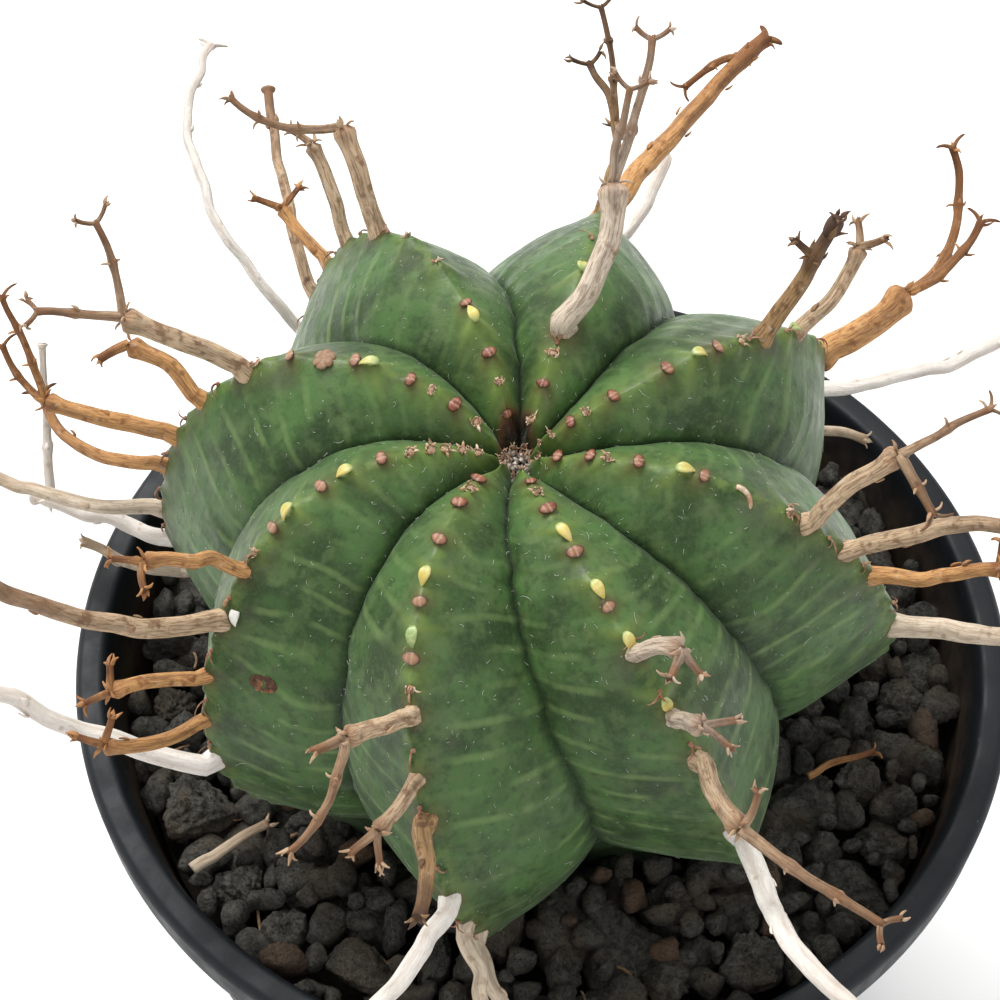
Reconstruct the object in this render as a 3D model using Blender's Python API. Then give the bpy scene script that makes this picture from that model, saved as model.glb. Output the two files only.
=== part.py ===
"""Potted ribbed euphorbia with dry flower stalks, in a nursery pot of lava grit.

Frame: origin at the centre of the pot's flat underside, +Z up, front rib towards -Y.
The dimensions below are millimetres; the meshes are made in metres.
"""

import math
import random
from collections import namedtuple

import bmesh
import bpy
import numpy as np
from mathutils import Vector

MM = 0.001

# Fits
GAP = 0.3
MIX_CLEARANCE = 0.45

# Pot
POT_HEIGHT = 80.0
RIM_RADIUS = 47.5
RIM_WIDTH = 3.4
LIP_DEPTH = 6.0
BASE_RADIUS = 33.0
WALL = 1.6
FLOOR = 2.0
FOOT_BEVEL = 1.0
DRAIN_COUNT = 4
DRAIN_RADIUS = 3.0
DRAIN_CIRCLE = 20.0
POT_SEGMENTS = 48

# Potting mix
HEADSPACE = 11.0
MIX_BUMP = 0.5

# Stem: eight ribs round a centre above the rim
STEM_X = -2.7
STEM_CENTRE = 20.8
CREST_RADII = (7.5, 11.5, 18.0, 25.4, 31.3, 36.0, 39.2, 37.0, 30.0)
CREST_STEP = 20.0
CREST_FIRST = -10.0
SKIRT_POLAR = 130.0
FURROW = 0.80
FACE_CURVE = 1.15
TWIST_POLAR = 69.0
HALF_RIB_COLUMNS = 4
STEM_ROWS = 15
NECK = ((24.5, -33.0, 0.85), (22.0, -38.5, 0.90), (17.0, -43.0, 0.95), (10.0, -47.0, 1.0))

CROWN_PIT = 1.0
ROOT_DOME = 1.0

Rib = namedtuple("Rib", "name azimuth scale twist")
RIBS = (
    Rib("a", -17, 0.99, 0.30),
    Rib("b", 27, 0.98, 0.27),
    Rib("c", 74, 0.99, 0.20),
    Rib("d", 120, 1.03, 0.28),
    Rib("e", 166, 1.04, 0.17),
    Rib("f", 209, 1.04, 0.21),
    Rib("g", 252, 0.97, 0.18),
    Rib("h", 298, 0.93, 0.26),
)
RIB = {rib.name: rib for rib in RIBS}

# Flower stalks: height is the angle down the rib from the top; rise and turn are the
# start and end directions, above level and round from the rib's own direction.
STALK_SIDES = 5
STALK_STEP = 3.2
FOOT_LENGTH = 0.8
FOOT_SWELL = 1.2
KNOB_SWELL = 1.25
TIP_TAPER = 0.7

Stalk = namedtuple("Stalk", "name rib height length rise turn width forks")
Fork = namedtuple("Fork", "at length rise turn width")
STALKS = (
    Stalk("a1", "a", 70, 7, (40, 15), (-40, -35), 1.6,
          (Fork(1.0, 3, (-5, -5), (-45, -50), 1.2), Fork(1.0, 11, (-30, -15), (15, -35), 1.1))),
    Stalk("a2", "a", 79, 7, (10, 20), (-5, -15), 1.3,
          (Fork(1.0, 3, (-15, -15), (-40, -40), 1.0), Fork(1.0, 3, (-35, -35), (5, 20), 0.9))),
    Stalk("a3", "a", 86, 9, (15, 5), (20, 5), 2.0, ()),
    Stalk("a4", "a", 100, 22, (10, 20), (-15, -35), 1.9, ()),
    Stalk("a5", "a", 107, 19, (0, 10), (25, 0), 1.6, ()),
    Stalk("a6", "a", 112, 18, (-5, 5), (35, 5), 1.5, ()),
    Stalk("b1", "b", 62, 5, (50, 25), (50, 30), 1.5,
          (Fork(1.0, 3, (-30, -25), (10, 25), 1.0), Fork(1.0, 3, (-10, -5), (-50, -50), 1.0))),
    Stalk("b2", "b", 73, 4, (60, 30), (20, 20), 1.5,
          (Fork(1.0, 3, (10, 5), (70, 65), 1.0), Fork(1.0, 3, (-10, -15), (30, 25), 1.0))),
    Stalk("b3", "b", 81, 8, (10, 15), (-20, 5), 1.8,
          (Fork(1.0, 4, (25, 30), (105, 145), 1.0), Fork(1.0, 14, (-15, -5), (25, 30), 1.3))),
    Stalk("b4", "b", 97, 28, (25, 35), (-30, 0), 2.0, ()),
    Stalk("c1", "c", 66, 12, (75, 45), (15, 10), 1.8,
          (Fork(1.0, 9, (20, 15), (35, 40), 1.0), Fork(1.0, 6, (-20, -30), (-35, -40), 1.2))),
    Stalk("c2", "c", 75, 22, (50, 20), (0, -10), 1.8, ()),
    Stalk("c3", "c", 83, 17, (25, 35), (-10, 10), 1.7,
          (Fork(0.7, 3, (40, 40), (95, 95), 0.9), Fork(0.7, 3, (-30, -30), (-60, -60), 0.9))),
    Stalk("c4", "c", 99, 18, (10, 10), (0, 0), 2.1, ()),
    Stalk("d1", "d", 60, 12, (60, 75), (-5, -5), 1.9,
          (Fork(0.8, 3, (45, 45), (135, 135), 1.0),)),
    Stalk("d2", "d", 70, 9, (35, 50), (0, 30), 1.6,
          (Fork(1.0, 3, (20, 20), (55, 75), 1.0), Fork(1.0, 3, (30, 50), (-40, -35), 1.0))),
    Stalk("d3", "d", 89, 10, (5, 15), (-10, 15), 2.8,
          (Fork(1.0, 18, (-5, 50), (-5, 80), 1.3), Fork(1.0, 11, (5, 45), (-15, 25), 1.3))),
    Stalk("d4", "d", 105, 28, (-10, 5), (-25, -5), 1.8, ()),
    Stalk("d5", "d", 115, 9, (5, -5), (-30, -60), 1.3, ()),
    Stalk("e1", "e", 34, 14, (30, 40), (-35, 30), 2.2,
          (Fork(1.0, 14, (30, 30), (-5, 15), 1.2), Fork(1.0, 9, (45, 50), (15, 0), 1.1))),
    Stalk("e2", "e", 92, 33, (5, 5), (-20, -30), 2.0,
          (Fork(0.9, 8, (10, -30), (120, 140), 1.1),)),
    Stalk("e3", "e", 103, 20, (-5, 10), (-25, -15), 1.9, ()),
    Stalk("e4", "e", 75, 17, (15, 15), (-10, 45), 1.2,
          (Fork(0.6, 12, (40, 25), (15, 30), 0.9),)),
    Stalk("f1", "f", 68, 10, (50, 50), (5, 0), 1.8,
          (Fork(1.0, 12, (-10, 20), (75, 20), 1.1),)),
    Stalk("f2", "f", 79, 9, (40, 40), (-5, 0), 1.4,
          (Fork(1.0, 3, (30, 20), (35, 45), 1.0),)),
    Stalk("f3", "f", 88, 7, (5, 15), (15, 0), 1.3,
          (Fork(1.0, 3, (15, 15), (45, 45), 0.9), Fork(1.0, 3, (10, 15), (-70, -65), 0.9))),
    Stalk("f4", "f", 96, 24, (20, 5), (-15, -25), 1.4, ()),
    Stalk("f5", "f", 105, 39, (40, -10), (25, -55), 1.6, ()),
    Stalk("g1", "g", 67, 12, (35, 35), (20, 20), 2.0,
          (Fork(1.0, 8, (10, 10), (20, 25), 1.1), Fork(1.0, 9, (40, 45), (-65, -35), 1.0))),
    Stalk("g2", "g", 78, 8, (40, 15), (-25, 10), 1.7,
          (Fork(1.0, 3, (-10, -25), (30, 45), 1.3),)),
    Stalk("g3", "g", 88, 12, (10, 15), (10, 5), 1.6,
          (Fork(1.0, 11, (45, 40), (-55, -35), 1.0), Fork(1.0, 7, (20, 35), (0, -55), 1.0))),
    Stalk("g4", "g", 95, 17, (-15, 5), (10, -55), 1.6, ()),
    Stalk("g5", "g", 104, 22, (-10, 5), (5, -20), 1.7, ()),
    Stalk("g6", "g", 110, 15, (-5, -5), (-5, -20), 1.7,
          (Fork(0.9, 16, (35, 45), (-75, -75), 1.1),)),
    Stalk("g7", "g", 117, 11, (15, 25), (15, -5), 1.3, ()),
    Stalk("h1", "h", 70, 11, (55, 25), (-5, 10), 1.4,
          (Fork(1.0, 3, (10, 5), (-30, -20), 0.9), Fork(1.0, 3, (-10, -5), (50, 90), 0.9))),
    Stalk("h2", "h", 79, 28, (35, 60), (15, -10), 2.0, ()),
    Stalk("h3", "h", 89, 9, (35, 20), (-5, 5), 1.4,
          (Fork(1.0, 3, (35, 30), (-125, -120), 0.9), Fork(1.0, 3, (-25, -25), (-30, -25), 0.9))),
    Stalk("h4", "h", 97, 10, (10, 40), (15, -20), 1.4,
          (Fork(1.0, 3, (30, 30), (-135, -130), 0.9), Fork(1.0, 3, (20, 15), (-40, -45), 0.9))),
    Stalk("h5", "h", 105, 25, (20, 45), (-35, -50), 2.1, ()),
)

# Loose lava stones on the mix: azimuth, distance from the axis, size across, height
Stone = namedtuple("Stone", "name azimuth reach size height")
STONES = (
    Stone("1", -64, 37.6, 8.2, 6.5),
    Stone("2", -50, 38.4, 5.6, 4.6),
    Stone("3", -40, 38.0, 5.4, 4.8),
    Stone("4", -27, 37.4, 7.2, 5.6),
    Stone("5", 10, 36.6, 5.8, 4.6),
    Stone("6", 21, 36.4, 5.8, 5.0),
    Stone("7", 34, 37.6, 7.4, 5.2),
    Stone("8", 63, 38.6, 5.8, 5.0),
    Stone("9", 72, 34.0, 5.6, 4.4),
    Stone("10", 88, 37.4, 6.0, 5.0),
    Stone("11", -84, 38.2, 5.4, 4.4),
    Stone("12", 158, 38.0, 6.4, 5.0),
)
STONE_ROUGHNESS = 0.10

# Fallen twigs: start and end as azimuth, distance from the axis and height over the mix
Twig = namedtuple("Twig", "name start end width")
TWIGS = (
    Twig("1", (-54.4, 41.6, 6.2), (-55.4, 32.8, 6.4), 1.2),
    Twig("2", (65.7, 29.6, 6.6), (75.1, 35.2, 6.8), 0.8),
)

COLOURS = {
    "pot_plastic": (0.03, 0.032, 0.036),
    "lava_grit": (0.10, 0.09, 0.085),
    "green_skin": (0.16, 0.30, 0.12),
    "brown_stalk": (0.42, 0.27, 0.15),
    "pale_stalk": (0.70, 0.62, 0.54),
    "lava_stone": (0.13, 0.11, 0.10),
}
PALE = {"a4", "a5", "a6", "b4", "c4", "d4", "d5", "e3", "f5", "g5", "g6", "g7", "h5"}


# ---------------------------------------------------------------- shared helpers
def material(name):
    """Own plain material for one node."""
    mat = bpy.data.materials.new(name)
    mat.use_nodes = True
    shader = mat.node_tree.nodes["Principled BSDF"]
    shader.inputs["Base Color"].default_value = (*COLOURS[name], 1.0)
    shader.inputs["Roughness"].default_value = 0.6
    return mat


def add_object(name, points, faces, slot):
    """Mesh object from millimetre points, faces turned outward."""
    mesh = bpy.data.meshes.new(name)
    mesh.from_pydata([tuple(c * MM for c in p) for p in points], [], faces)
    work = bmesh.new()
    work.from_mesh(mesh)
    bmesh.ops.recalc_face_normals(work, faces=work.faces)
    work.to_mesh(mesh)
    work.free()
    mesh.materials.append(material(slot))
    obj = bpy.data.objects.new(name, mesh)
    bpy.context.scene.collection.objects.link(obj)
    return obj


def closed_rows(rows, first=None, last=None):
    """Points and faces of rings joined in order, ends closed to a point or a flat face."""
    count = len(rows[0])
    points = [tuple(p) for row in rows for p in row]
    faces = []
    for r in range(len(rows) - 1):
        for c in range(count):
            d = (c + 1) % count
            faces.append((r * count + c, r * count + d, (r + 1) * count + d, (r + 1) * count + c))
    top = (len(rows) - 1) * count
    for start, centre, turn in ((0, first, True), (top, last, False)):
        ring = [start + c for c in range(count)]
        if centre is None:
            faces.append(tuple(reversed(ring)) if turn else tuple(ring))
            continue
        points.append(tuple(centre))
        pole = len(points) - 1
        for c in range(count):
            pair = (ring[c], ring[(c + 1) % count])
            faces.append((*reversed(pair), pole) if turn else (*pair, pole))
    return points, faces


def combine(obj, others, operation):
    """Union or cut the others into obj and take them away."""
    for other in others:
        mod = obj.modifiers.new("combine", "BOOLEAN")
        mod.operation = operation
        mod.solver = "EXACT"
        mod.object = other
        bpy.context.view_layer.update()
        graph = bpy.context.evaluated_depsgraph_get()
        mesh = bpy.data.meshes.new_from_object(obj.evaluated_get(graph))
        obj.modifiers.clear()
        obj.data = mesh
        bpy.data.objects.remove(other)
    return obj


def around(azimuth, reach, height):
    """Point at an azimuth in degrees, zero to the front and turning to the right."""
    a = math.radians(azimuth)
    return (reach * math.sin(a), -reach * math.cos(a), height)


# ---------------------------------------------------------------- pot
def pot_inner_radius(height):
    """Inside radius of the tapering wall at a height."""
    top = RIM_RADIUS - RIM_WIDTH - 0.8
    bottom = BASE_RADIUS - WALL
    share = (height - FLOOR) / (POT_HEIGHT - LIP_DEPTH - FLOOR)
    return bottom + (top - bottom) * share


def pot_profile():
    """Outline of the pot wall from the middle of the underside round to the floor."""
    h = POT_HEIGHT
    lip = h - LIP_DEPTH
    inner = RIM_RADIUS - RIM_WIDTH
    return [
        (BASE_RADIUS - FOOT_BEVEL, 0.0),
        (BASE_RADIUS, FOOT_BEVEL),
        (pot_inner_radius(lip) + WALL, lip - 0.6),
        (RIM_RADIUS - 0.8, lip),
        (RIM_RADIUS - 0.1, lip + 0.8),
        (RIM_RADIUS, h - 2.0),
        (RIM_RADIUS - 0.4, h - 0.8),
        (RIM_RADIUS - 1.2, h),
        (inner + 1.1, h),
        (inner + 0.3, h - 0.7),
        (inner, h - 2.0),
        (pot_inner_radius(lip), lip),
        (pot_inner_radius(FLOOR), FLOOR),
    ]


def build_pot():
    rows = []
    for radius, height in pot_profile():
        rows.append([around(360.0 * k / POT_SEGMENTS, radius, height) for k in range(POT_SEGMENTS)])
    points, faces = closed_rows(rows, first=(0, 0, 0), last=(0, 0, FLOOR))
    pot = add_object("pot", points, faces, "pot_plastic")
    drains = []
    for k in range(DRAIN_COUNT):
        x, y, _ = around(45 + 360.0 * k / DRAIN_COUNT, DRAIN_CIRCLE, 0)
        corners = []
        for j in range(14):
            turn = math.tau * j / 14
            corners.append((x + DRAIN_RADIUS * math.cos(turn), y + DRAIN_RADIUS * math.sin(turn)))
        rings = [[(cx, cy, z) for cx, cy in corners] for z in (-2.0, FLOOR + 2.0)]
        points, faces = closed_rows(rings)
        drains.append(add_object("drain", points, faces, "pot_plastic"))
    return combine(pot, drains, "DIFFERENCE")


# ---------------------------------------------------------------- stem
def crest_radius(polar):
    """Distance of a crest from the stem's centre: smooth cubic through CREST_RADII."""
    place = (polar - CREST_FIRST) / CREST_STEP
    i = min(max(int(place), 1), len(CREST_RADII) - 3)
    t = place - i
    a, b, c, d = CREST_RADII[i - 1:i + 3]
    return b + 0.5 * t * (c - a + t * (2 * a - 5 * b + 4 * c - d + t * (3 * (b - c) + d - a)))


def stem_profile():
    """Rows from crown to root: radius and height from the centre, furrow share, polar angle.

    The last value says whether the height follows each rib's own size: the neck is level.
    """
    rows = []
    for k in range(1, STEM_ROWS + 1):
        polar = SKIRT_POLAR * k / STEM_ROWS
        reach = crest_radius(polar)
        angle = math.radians(polar)
        rows.append((reach * math.sin(angle), reach * math.cos(angle), FURROW, polar, True))
    for radius, height, furrow in NECK:
        rows.append((radius, height, furrow, SKIRT_POLAR, False))
    return rows


def stem_columns():
    """Columns round the stem: the two ribs either side, share between them, furrow weight."""
    columns = []
    for k, rib in enumerate(RIBS):
        after = RIBS[(k + 1) % len(RIBS)]
        for j in range(2 * HALF_RIB_COLUMNS):
            share = j / (2 * HALF_RIB_COLUMNS)
            depth = 1.0 - abs(2.0 * share - 1.0)
            columns.append((rib, after, share, depth ** FACE_CURVE))
    return columns


def stem_point(row, column):
    radius, height, furrow, polar, follow = row
    rib, after, share, depth = column
    lean = polar - TWIST_POLAR
    start = rib.azimuth + rib.twist * lean
    stop = after.azimuth + after.twist * lean
    if stop < start:
        stop += 360.0
    azimuth = start + (stop - start) * share
    scale = rib.scale + (after.scale - rib.scale) * share
    scale *= 1.0 - (1.0 - furrow) * depth
    x, y, _ = around(azimuth, radius * scale, 0)
    return (STEM_X + x, y, POT_HEIGHT + STEM_CENTRE + height * (scale if follow else 1.0))


def build_stem():
    profile = stem_profile()
    columns = stem_columns()
    rows = [[stem_point(row, column) for column in columns] for row in profile]
    crown = (STEM_X, 0.0, POT_HEIGHT + STEM_CENTRE + crest_radius(0.0) - CROWN_PIT)
    root = (STEM_X, 0.0, POT_HEIGHT + STEM_CENTRE + NECK[-1][1] - ROOT_DOME)
    points, faces = closed_rows(rows, first=crown, last=root)
    return add_object("stem_body", points, faces, "green_skin")


# ---------------------------------------------------------------- potting mix
def stem_edge(column, height):
    """Place where one column of the stem meets the surface of the mix."""
    upper = stem_point(stem_profile()[STEM_ROWS - 1], column)
    lower = stem_point(stem_profile()[STEM_ROWS], column)
    t = (upper[2] - height) / (upper[2] - lower[2])
    return (upper[0] + (lower[0] - upper[0]) * t, upper[1] + (lower[1] - upper[1]) * t)


def cleared(x, y, height):
    """Point moved out from the stem's axis by the clearance of the mix."""
    out = math.hypot(x - STEM_X, y)
    grow = (out + MIX_CLEARANCE) / out
    return (STEM_X + (x - STEM_X) * grow, y * grow, height)


def mix_bump(x, y):
    """Gentle unevenness of the grit surface."""
    coarse = math.sin(0.55 * x + 1.3) * math.cos(0.47 * y)
    fine = 0.6 * math.sin(0.9 * y - 0.4 * x)
    return MIX_BUMP * (coarse + fine) / 1.6


def build_mix():
    surface = POT_HEIGHT - HEADSPACE
    columns = stem_columns()
    bottom = FLOOR + GAP
    azimuths = []
    for column in columns:
        x, y = stem_edge(column, surface)
        azimuths.append(math.degrees(math.atan2(x, -y)))
    rows = []
    for height in (bottom, surface * 0.5, surface):
        radius = pot_inner_radius(height) - MIX_CLEARANCE
        rows.append([around(a, radius, height) for a in azimuths])
    for share in (0.25, 0.6, 0.88):
        ring = []
        for a, column in zip(azimuths, columns):
            sx, sy = stem_edge(column, surface)
            ox, oy, _ = around(a, pot_inner_radius(surface) - MIX_CLEARANCE, 0)
            x = ox + (sx - ox) * share
            y = oy + (sy - oy) * share
            ring.append((x, y, surface + mix_bump(x, y)))
        rows.append(ring)
    rows.append([cleared(*stem_edge(column, surface), surface) for column in columns])
    for row in stem_profile()[STEM_ROWS:]:
        drop = MIX_CLEARANCE * (1.0 if row[0] < NECK[0][0] else 0.0)
        ring = []
        for column in columns:
            x, y, z = stem_point(row, column)
            ring.append(cleared(x, y, z - drop))
        rows.append(ring)
    root = (STEM_X, 0, POT_HEIGHT + STEM_CENTRE + NECK[-1][1] - ROOT_DOME - 2 * MIX_CLEARANCE)
    points, faces = closed_rows(rows, first=(0, 0, bottom), last=root)
    return add_object("potting_mix", points, faces, "lava_grit")


# ---------------------------------------------------------------- stalks
def crest_place(rib, polar):
    """Point on a rib's crest, its azimuth, and the slope of the outward direction."""
    reach = crest_radius(polar) * rib.scale
    angle = math.radians(polar)
    azimuth = rib.azimuth + rib.twist * (polar - TWIST_POLAR)
    x, y, _ = around(azimuth, reach * math.sin(angle), 0)
    slope = (crest_radius(polar + 1) - crest_radius(polar - 1)) * rib.scale / math.radians(2)
    out_r = reach * math.sin(angle) - slope * math.cos(angle)
    out_z = reach * math.cos(angle) + slope * math.sin(angle)
    rise = math.degrees(math.atan2(out_z, out_r))
    point = Vector((STEM_X + x, y, POT_HEIGHT + STEM_CENTRE + reach * math.cos(angle)))
    return point, azimuth, rise


def heading(rise, azimuth):
    x, y, _ = around(azimuth, math.cos(math.radians(rise)), 0)
    return Vector((x, y, math.sin(math.radians(rise))))


def path(start, azimuth, length, rise, turn):
    """Evenly bending line from a start point."""
    steps = max(2, round(length / STALK_STEP))
    points = [Vector(start)]
    for k in range(steps):
        s = (k + 0.5) / steps
        way = heading(rise[0] + (rise[1] - rise[0]) * s, azimuth + turn[0] + (turn[1] - turn[0]) * s)
        points.append(points[-1] + way * (length / steps))
    return points


def tube(name, line, widths, slot):
    """Closed tube of STALK_SIDES sides along a line."""
    ways = []
    for k in range(len(line)):
        ways.append((line[min(k + 1, len(line) - 1)] - line[max(k - 1, 0)]).normalized())
    side = ways[0].orthogonal().normalized()
    rows = []
    for k, (point, way) in enumerate(zip(line, ways)):
        side = (side - way * side.dot(way)).normalized()
        across = way.cross(side)
        radius = widths[k] / 2
        ring = []
        for j in range(STALK_SIDES):
            a = math.tau * j / STALK_SIDES
            ring.append(point + radius * (math.cos(a) * side + math.sin(a) * across))
        rows.append(ring)
    points, faces = closed_rows(rows)
    return add_object(name, points, faces, slot)


def knob(centre, radius, slot):
    """Swollen joint where a stalk forks."""
    work = bmesh.new()
    bmesh.ops.create_icosphere(work, subdivisions=1, radius=radius)
    points = [centre + v.co for v in work.verts]
    faces = [tuple(v.index for v in f.verts) for f in work.faces]
    work.free()
    return add_object("knob", points, faces, slot)


def along(line, share):
    """Point at a share of the way along a line of equal steps."""
    place = share * (len(line) - 1)
    k = min(int(place), len(line) - 2)
    return line[k].lerp(line[k + 1], place - k)


def build_stalk(stalk):
    """Main stalk off the crest, its swollen joint and its forks, as one body."""
    slot = "pale_stalk" if stalk.name in PALE else "brown_stalk"
    crest, azimuth, rise = crest_place(RIB[stalk.rib], stalk.height)
    out = heading(rise, azimuth)
    foot = crest + out * GAP
    line = path(foot + out * FOOT_LENGTH, azimuth, stalk.length, stalk.rise, stalk.turn)
    taper = 1.0 if stalk.forks else TIP_TAPER
    widths = [stalk.width * (1.0 + (taper - 1.0) * k / (len(line) - 1)) for k in range(len(line))]
    body = tube("flower_stalk_" + stalk.name, [foot] + line, [stalk.width * FOOT_SWELL] + widths, slot)
    pieces = []
    for at in sorted({fork.at for fork in stalk.forks}):
        pieces.append(knob(along(line, at), stalk.width / 2 * KNOB_SWELL, slot))
    for fork in stalk.forks:
        arm = path(along(line, fork.at), azimuth, fork.length, fork.rise, fork.turn)
        widths = [fork.width * (1.0 + (TIP_TAPER - 1.0) * k / (len(arm) - 1)) for k in range(len(arm))]
        pieces.append(tube("fork", arm, widths, slot))
    return combine(body, pieces, "UNION")


# ---------------------------------------------------------------- loose pieces
def build_stone(stone):
    """Pitted lava stone lying on the mix."""
    chance = random.Random("stone " + stone.name)
    work = bmesh.new()
    bmesh.ops.create_icosphere(work, subdivisions=2, radius=1.0)
    for vert in work.verts:
        vert.co *= 1.0 - STONE_ROUGHNESS * chance.random() * 2
    low = min(v.co.z for v in work.verts)
    x, y, _ = around(stone.azimuth, stone.reach, 0)
    lift = POT_HEIGHT - HEADSPACE + MIX_BUMP + GAP
    scale = stone.height / (max(v.co.z for v in work.verts) - low)
    points = []
    for vert in work.verts:
        across = vert.co * stone.size / 2
        points.append((x + across.x, y + across.y, lift + (vert.co.z - low) * scale))
    faces = [tuple(v.index for v in f.verts) for f in work.faces]
    work.free()
    return add_object("lava_stone_" + stone.name, points, faces, "lava_stone")


def build_twig(twig):
    """Short dry twig fallen across the stones."""
    base = POT_HEIGHT - HEADSPACE
    start = Vector(around(twig.start[0], twig.start[1], base + twig.start[2]))
    end = Vector(around(twig.end[0], twig.end[1], base + twig.end[2]))
    middle = start.lerp(end, 0.5) + Vector((0, 0, 0.4))
    widths = (twig.width, twig.width, twig.width * TIP_TAPER)
    return tube("fallen_twig_" + twig.name, [start, middle, end], widths, "brown_stalk")


def main():
    for obj in list(bpy.data.objects):
        bpy.data.objects.remove(obj)
    build_pot()
    build_mix()
    build_stem()
    for stalk in STALKS:
        build_stalk(stalk)
    for stone in STONES:
        build_stone(stone)
    for twig in TWIGS:
        build_twig(twig)


main()
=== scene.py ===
"""Looks of a potted ribbed euphorbia with dry flower stalks, in a nursery pot of lava grit.

Laid out as a Blender add-on and run as a script. The functions work in millimetres and
degrees, in the frame of the packed model; the meshes are made in metres.
"""

import itertools
import math
from collections import namedtuple

import bpy
import numpy as np
from bpy.props import FloatProperty, FloatVectorProperty, IntProperty, PointerProperty
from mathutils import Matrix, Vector


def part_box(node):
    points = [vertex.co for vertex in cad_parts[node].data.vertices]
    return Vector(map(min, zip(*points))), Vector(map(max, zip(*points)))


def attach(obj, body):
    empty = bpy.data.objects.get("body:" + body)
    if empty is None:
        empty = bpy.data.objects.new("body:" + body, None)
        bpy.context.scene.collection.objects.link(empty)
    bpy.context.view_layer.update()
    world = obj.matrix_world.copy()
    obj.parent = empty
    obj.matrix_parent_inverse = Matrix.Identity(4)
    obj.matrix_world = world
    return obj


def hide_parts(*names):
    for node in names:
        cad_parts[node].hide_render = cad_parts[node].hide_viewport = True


bl_info = {
    "name": "Potted euphorbia",
    "version": (1, 0, 0),
    "blender": (4, 5, 0),
    "location": "View3D > Sidebar > Euphorbia",
    "description": "Builds the skin, stalks, pot and grit of a potted ribbed euphorbia",
    "category": "Add Mesh",
}

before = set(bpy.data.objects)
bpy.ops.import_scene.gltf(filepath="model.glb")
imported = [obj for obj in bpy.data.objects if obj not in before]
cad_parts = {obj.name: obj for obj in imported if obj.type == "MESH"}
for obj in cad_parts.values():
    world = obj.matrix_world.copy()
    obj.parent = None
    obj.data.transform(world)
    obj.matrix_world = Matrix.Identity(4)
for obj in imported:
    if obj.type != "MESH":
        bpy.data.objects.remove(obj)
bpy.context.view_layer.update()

MM = 0.001


def node_box(node):
    """Lowest and highest corner of a node of the frame, in millimetres."""
    return [np.array(corner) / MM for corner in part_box(node)]


# Pot, as its solid is
RIM_RADIUS, _, POT_HEIGHT = node_box("pot")[1]
RIM_WIDTH = 3.4
LIP_DEPTH = 6.0
BASE_RADIUS = 33.0
WALL = 1.6
FLOOR = 2.0
DRAIN_RADIUS = 3.0
DRAIN_CIRCLE = 20.0
DRAIN_COUNT = 4
LIP_STEP = 0.8
POT_COLUMNS = 192

# Mix: its box, its gap to the pot and the stem, and the rings of its top
MIX_LOW, MIX_HIGH = node_box("potting_mix")
MIX_CLEARANCE = 0.45
BED_RINGS = 44

# Stem: eight ribs round a centre above the rim, as its solid is. CREST_RADII are a crest's
# distances from the centre at even steps of the angle from the top; the skirt is where the
# crests end, and NECK holds radii and heights under the centre, down to the root
STEM_X = -2.7
STEM_CENTRE = POT_HEIGHT + 20.8
STEM_MIDDLE = np.array((STEM_X, 0.0, STEM_CENTRE))
CREST_RADII = (7.5, 11.5, 18.0, 25.4, 31.3, 36.0, 39.2, 37.0, 30.0)
CREST_STEP = 20.0
CREST_FIRST = -10.0
SKIRT_POLAR = 130.0
SKIRT_RADIUS = 28.6
SKIRT_Z = -23.8
TWIST_POLAR = 69.0
NECK = ((24.5, -33.0), (22.0, -38.5), (17.0, -43.0), (10.0, -47.0))
CROWN_PIT = 1.2

# Teeth of the lower crests: where they begin and the angles of two stalks' feet that set
# their distance, two teeth to a stalk
TEETH_START = 58.0
TOOTH_FIRST = 79.0
TOOTH_NEXT = 88.0

# The way down into a furrow, at angles from the top: the power of the slope, the share of a
# steeper groove in it, and the depth against the set furrow
SLOPE_POLARS = (0, 30, 60, 85)
SLOPE_POWERS = (1.10, 1.20, 0.95, 0.78)
GROOVE_SHARES = (0.10, 0.24, 0.16, 0.08)
DEPTH_POLARS = (4, 12, 30, 80, 100, 130)
DEPTHS = (0.30, 0.95, 1.2, 1.15, 1.08, 0.95)
CREST_ROUND = 0.05

# Crown: lobes at the ribs' upper ends, and the oval cleft behind the growing point
LOBE_POLAR = 10.5
LOBE_HEIGHT = 0.85
CLEFT_DEPTH = 2.3
CLEFT_CENTRE = (STEM_X - 0.1, 1.7)
CLEFT_REACH = (1.45, 2.7)

# Each rib: azimuth, size and twist, then the angles from the top of what stands on its
# crest: dormant flower buds, leaflets and brown scars
Rib = namedtuple("Rib", "name azimuth scale twist buds leaflets scars")
RIBS = (
    Rib("a", -17, 0.99, 0.30, (24, 33, 42, 53, 61.5), (48.5, 58), (28, 66)),
    Rib("b", 27, 0.98, 0.27, (21, 32, 43, 53.5), (38.5, 50, 59, 69.5), (26,)),
    Rib("c", 74, 0.99, 0.20, (17, 25.5, 35.5, 46.5), (43,), (29.5, 61.5)),
    Rib("d", 120, 1.03, 0.28, (19, 29, 39.5, 49), (45, 67), (13, 23, 54)),
    Rib("e", 166, 1.04, 0.17, (21,), (45,), (14, 27.5)),
    Rib("f", 209, 1.04, 0.21, (15.5, 27, 37.5), (34.5,), (21, 48, 58)),
    Rib("g", 252, 0.97, 0.18, (24, 34, 44.5, 56.5), (41.5,), (18, 29.5, 63)),
    Rib("h", 298, 0.93, 0.26, (39, 50.5, 61), (45.5, 57), (16.5, 21, 25.5, 29, 33.5, 66)),
)
RIB_NUMBER = {rib.name: number for number, rib in enumerate(RIBS)}
RIB_COUNT = len(RIBS)

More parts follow.
